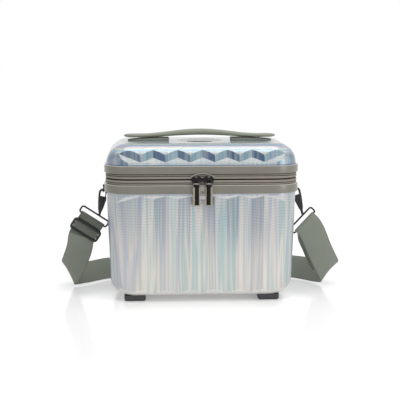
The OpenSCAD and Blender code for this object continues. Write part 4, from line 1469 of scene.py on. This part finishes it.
frame_line = [Vector((x, 0, z)) * MM for x, z in round_corners(HALF_X, HALF_Z, CORNER_R, 6)]
surround = tube("adjuster_frame", frame_line, FRAME_R * MM, BAR_SIDES, closed=True)
surround.scale = (1, FRAME_FLATNESS, 1)
bar_line = [Vector((x, 0, 0)) * MM for x in (-HALF_X, HALF_X)]
middle_bar = tube("adjuster_bar", bar_line, BAR_R * MM, BAR_SIDES)
adjuster = joined("moulded_adjuster", [surround, middle_bar])
(place_x, place_y, place_z), tilt = on_loop(-1, 0, -ADJUSTER_DROP)
adjuster.rotation_euler = (0, math.atan2(tilt[2], -tilt[0]), 0)
placed(adjuster, at(place_x, place_y, place_z))
paint(adjuster, strap_black)
seat(adjuster, "strap_adjuster")
print("adjuster faces:", len(adjuster.data.polygons))

# %% [markdown]
# ## Linings, pocket and hinge cloth
# Inside, each shell has a cloth lining whose free edge is bound with a piping. The lid's lining
# carries a gathered pocket. The back of the case has no zip: a strip of cloth joins the two
# bands there.


# %% Linings with piping
LINING_IN = 7.9  # in from the shell's outer face, in millimetres
PIPING_R = 1.3
LININGS = [
    # word, height of the free edge, how deep the lining is
    ("base", BASE_TOP_Z - 1, 192),
    ("lid", PART_Z + TAPE_H + 1, 46),
]


def rim_loop(inset, up):
    """Places round the case at a distance in from the shell's face, at a height in mm."""
    half_x, half_y, radius = (size / MM - inset for size in (shell_w / 2, shell_d / 2, PLAN_R))
    return [at(x, y, up) for x, y in round_corners(half_x, half_y, radius, 9)]


for word, edge_z, depth in LININGS:
    lining = smoothed(welded_copy(word + "_lining", word + "_cloth_lining"), 40)
    edge_line = rim_loop(LINING_IN + 0.9, edge_z)
    piping = tube(word + "_piping", edge_line, PIPING_R * MM, 8, closed=True)
    lining = joined(word + "_cloth_lining", [lining, piping])
    unwrap = lining.data.uv_layers.new(name="UVMap")
    for face in lining.data.polygons:
        axis = max(range(3), key=lambda i: abs(face.normal[i]))
        for loop in face.loop_indices:
            place = lining.data.vertices[lining.data.loops[loop].vertex_index].co
            unwrap.data[loop].uv = [place[i] for i in range(3) if i != axis]
    paint(lining, lining_cloth)
    seat(lining, word + "_lining")

# %% [markdown]
# The pocket and the hinge are single panels of cloth. A panel is a grid whose places come from a
# function, so folds and creases are in the shape itself, and Solidify gives it its thickness.

# %% Panels of cloth
PANEL_ROWS = 24
V_LEN = 0.12


def cloth_panel(name, columns, place, thickness):
    """A closed panel of cloth: place(u, v) gives its outer face, and it is thickened inwards."""
    rows = PANEL_ROWS
    places = [place(c / columns, r / rows) for r in range(rows + 1) for c in range(columns + 1)]
    wide = columns + 1
    faces = [
        (r * wide + c, r * wide + c + 1, (r + 1) * wide + c + 1, (r + 1) * wide + c)
        for r in range(rows)
        for c in range(columns)
    ]
    piece = raw_piece(name, places, [], faces)
    uv = piece.data.uv_layers.new(name="UVMap")
    for loop in piece.data.loops:
        r, c = divmod(loop.vertex_index, wide)
        uv.data[loop.index].uv = (places[c].x + places[c].y * 0.1, r / rows * V_LEN)
    only(piece)
    solid = piece.modifiers.new("thickness", "SOLIDIFY")
    solid.thickness = thickness
    solid.offset = -1
    bpy.ops.object.modifier_apply(modifier=solid.name)
    return smoothed(piece, 60)


print("rows in a panel:", PANEL_ROWS)

# %% [markdown]
# The pocket is sewn down on three sides. Its free edge has an elastic hem that gathers the cloth,
# so the folds are deep at the mouth and fade out towards the seams.

# %% Gathered pocket
POCKET_W, POCKET_D = 250, 120
POCKET_COLUMNS, HEM_STEPS = 184, 92
FOLDS = 23
HEM_R = 1.2
POCKET_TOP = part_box("lid_pocket")[1].z / MM


def pocket_place(u, v):
    """v is 0 at the gathered mouth and 1 at the far seam. The cloth hangs down in folds."""
    mouth = (1 - v) ** 1.5
    edge = min(1.0, 14 * min(u, 1 - u)) * min(1.0, 9 * (1 - v))
    fold = math.sin(2 * math.pi * FOLDS * u + 1.3 * math.sin(v * 5 + u * 9))
    drop = edge * (1.9 + 0.9 * math.sin(math.pi * v)) + fold * 0.8 * mouth * edge
    return at((u - 0.5) * POCKET_W, (v - 0.5) * POCKET_D, POCKET_TOP - 0.9 - max(0.2, drop))


pocket = cloth_panel("gathered_pocket", POCKET_COLUMNS, pocket_place, 0.7 * MM)
lift = Vector((0, 0, 0.2 * MM))
hem_line = [pocket_place(step / HEM_STEPS, 0) + lift for step in range(HEM_STEPS + 1)]
hem = tube("pocket_hem", hem_line, HEM_R * MM, 8)
pocket = joined("gathered_pocket", [pocket, hem])
paint(pocket, pocket_cloth)
seat(pocket, "lid_pocket")
print("pocket faces:", len(pocket.data.polygons))

# %% [markdown]
# The hinge cloth joins base and lid across the joint, in place of the two imported hinge strips,
# which are hidden. It is one strip with a slight crease at the middle.

# %% Hinge cloth
HINGE_LEN, HINGE_OUT = 240, 2.8
CREASE = 0.35


def hinge_place(u, v):
    """The strip between the two bands, with a slight crease at the middle."""
    z = BASE_TOP_Z + 0.1 + v * (2 * TAPE_H - 0.2)
    crease = CREASE * math.exp(-(((v - 0.5) / 0.12) ** 2))
    return at((u - 0.5) * HINGE_LEN, -FRONT_Y + HINGE_OUT - crease, z)


strip = cloth_panel("hinge_cloth_strip", 60, hinge_place, 1.0 * MM)
paint(strip, hinge_cloth)
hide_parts("base_hinge_strip", "lid_hinge_strip")
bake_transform(strip)
print("hinge cloth faces:", len(strip.data.polygons))
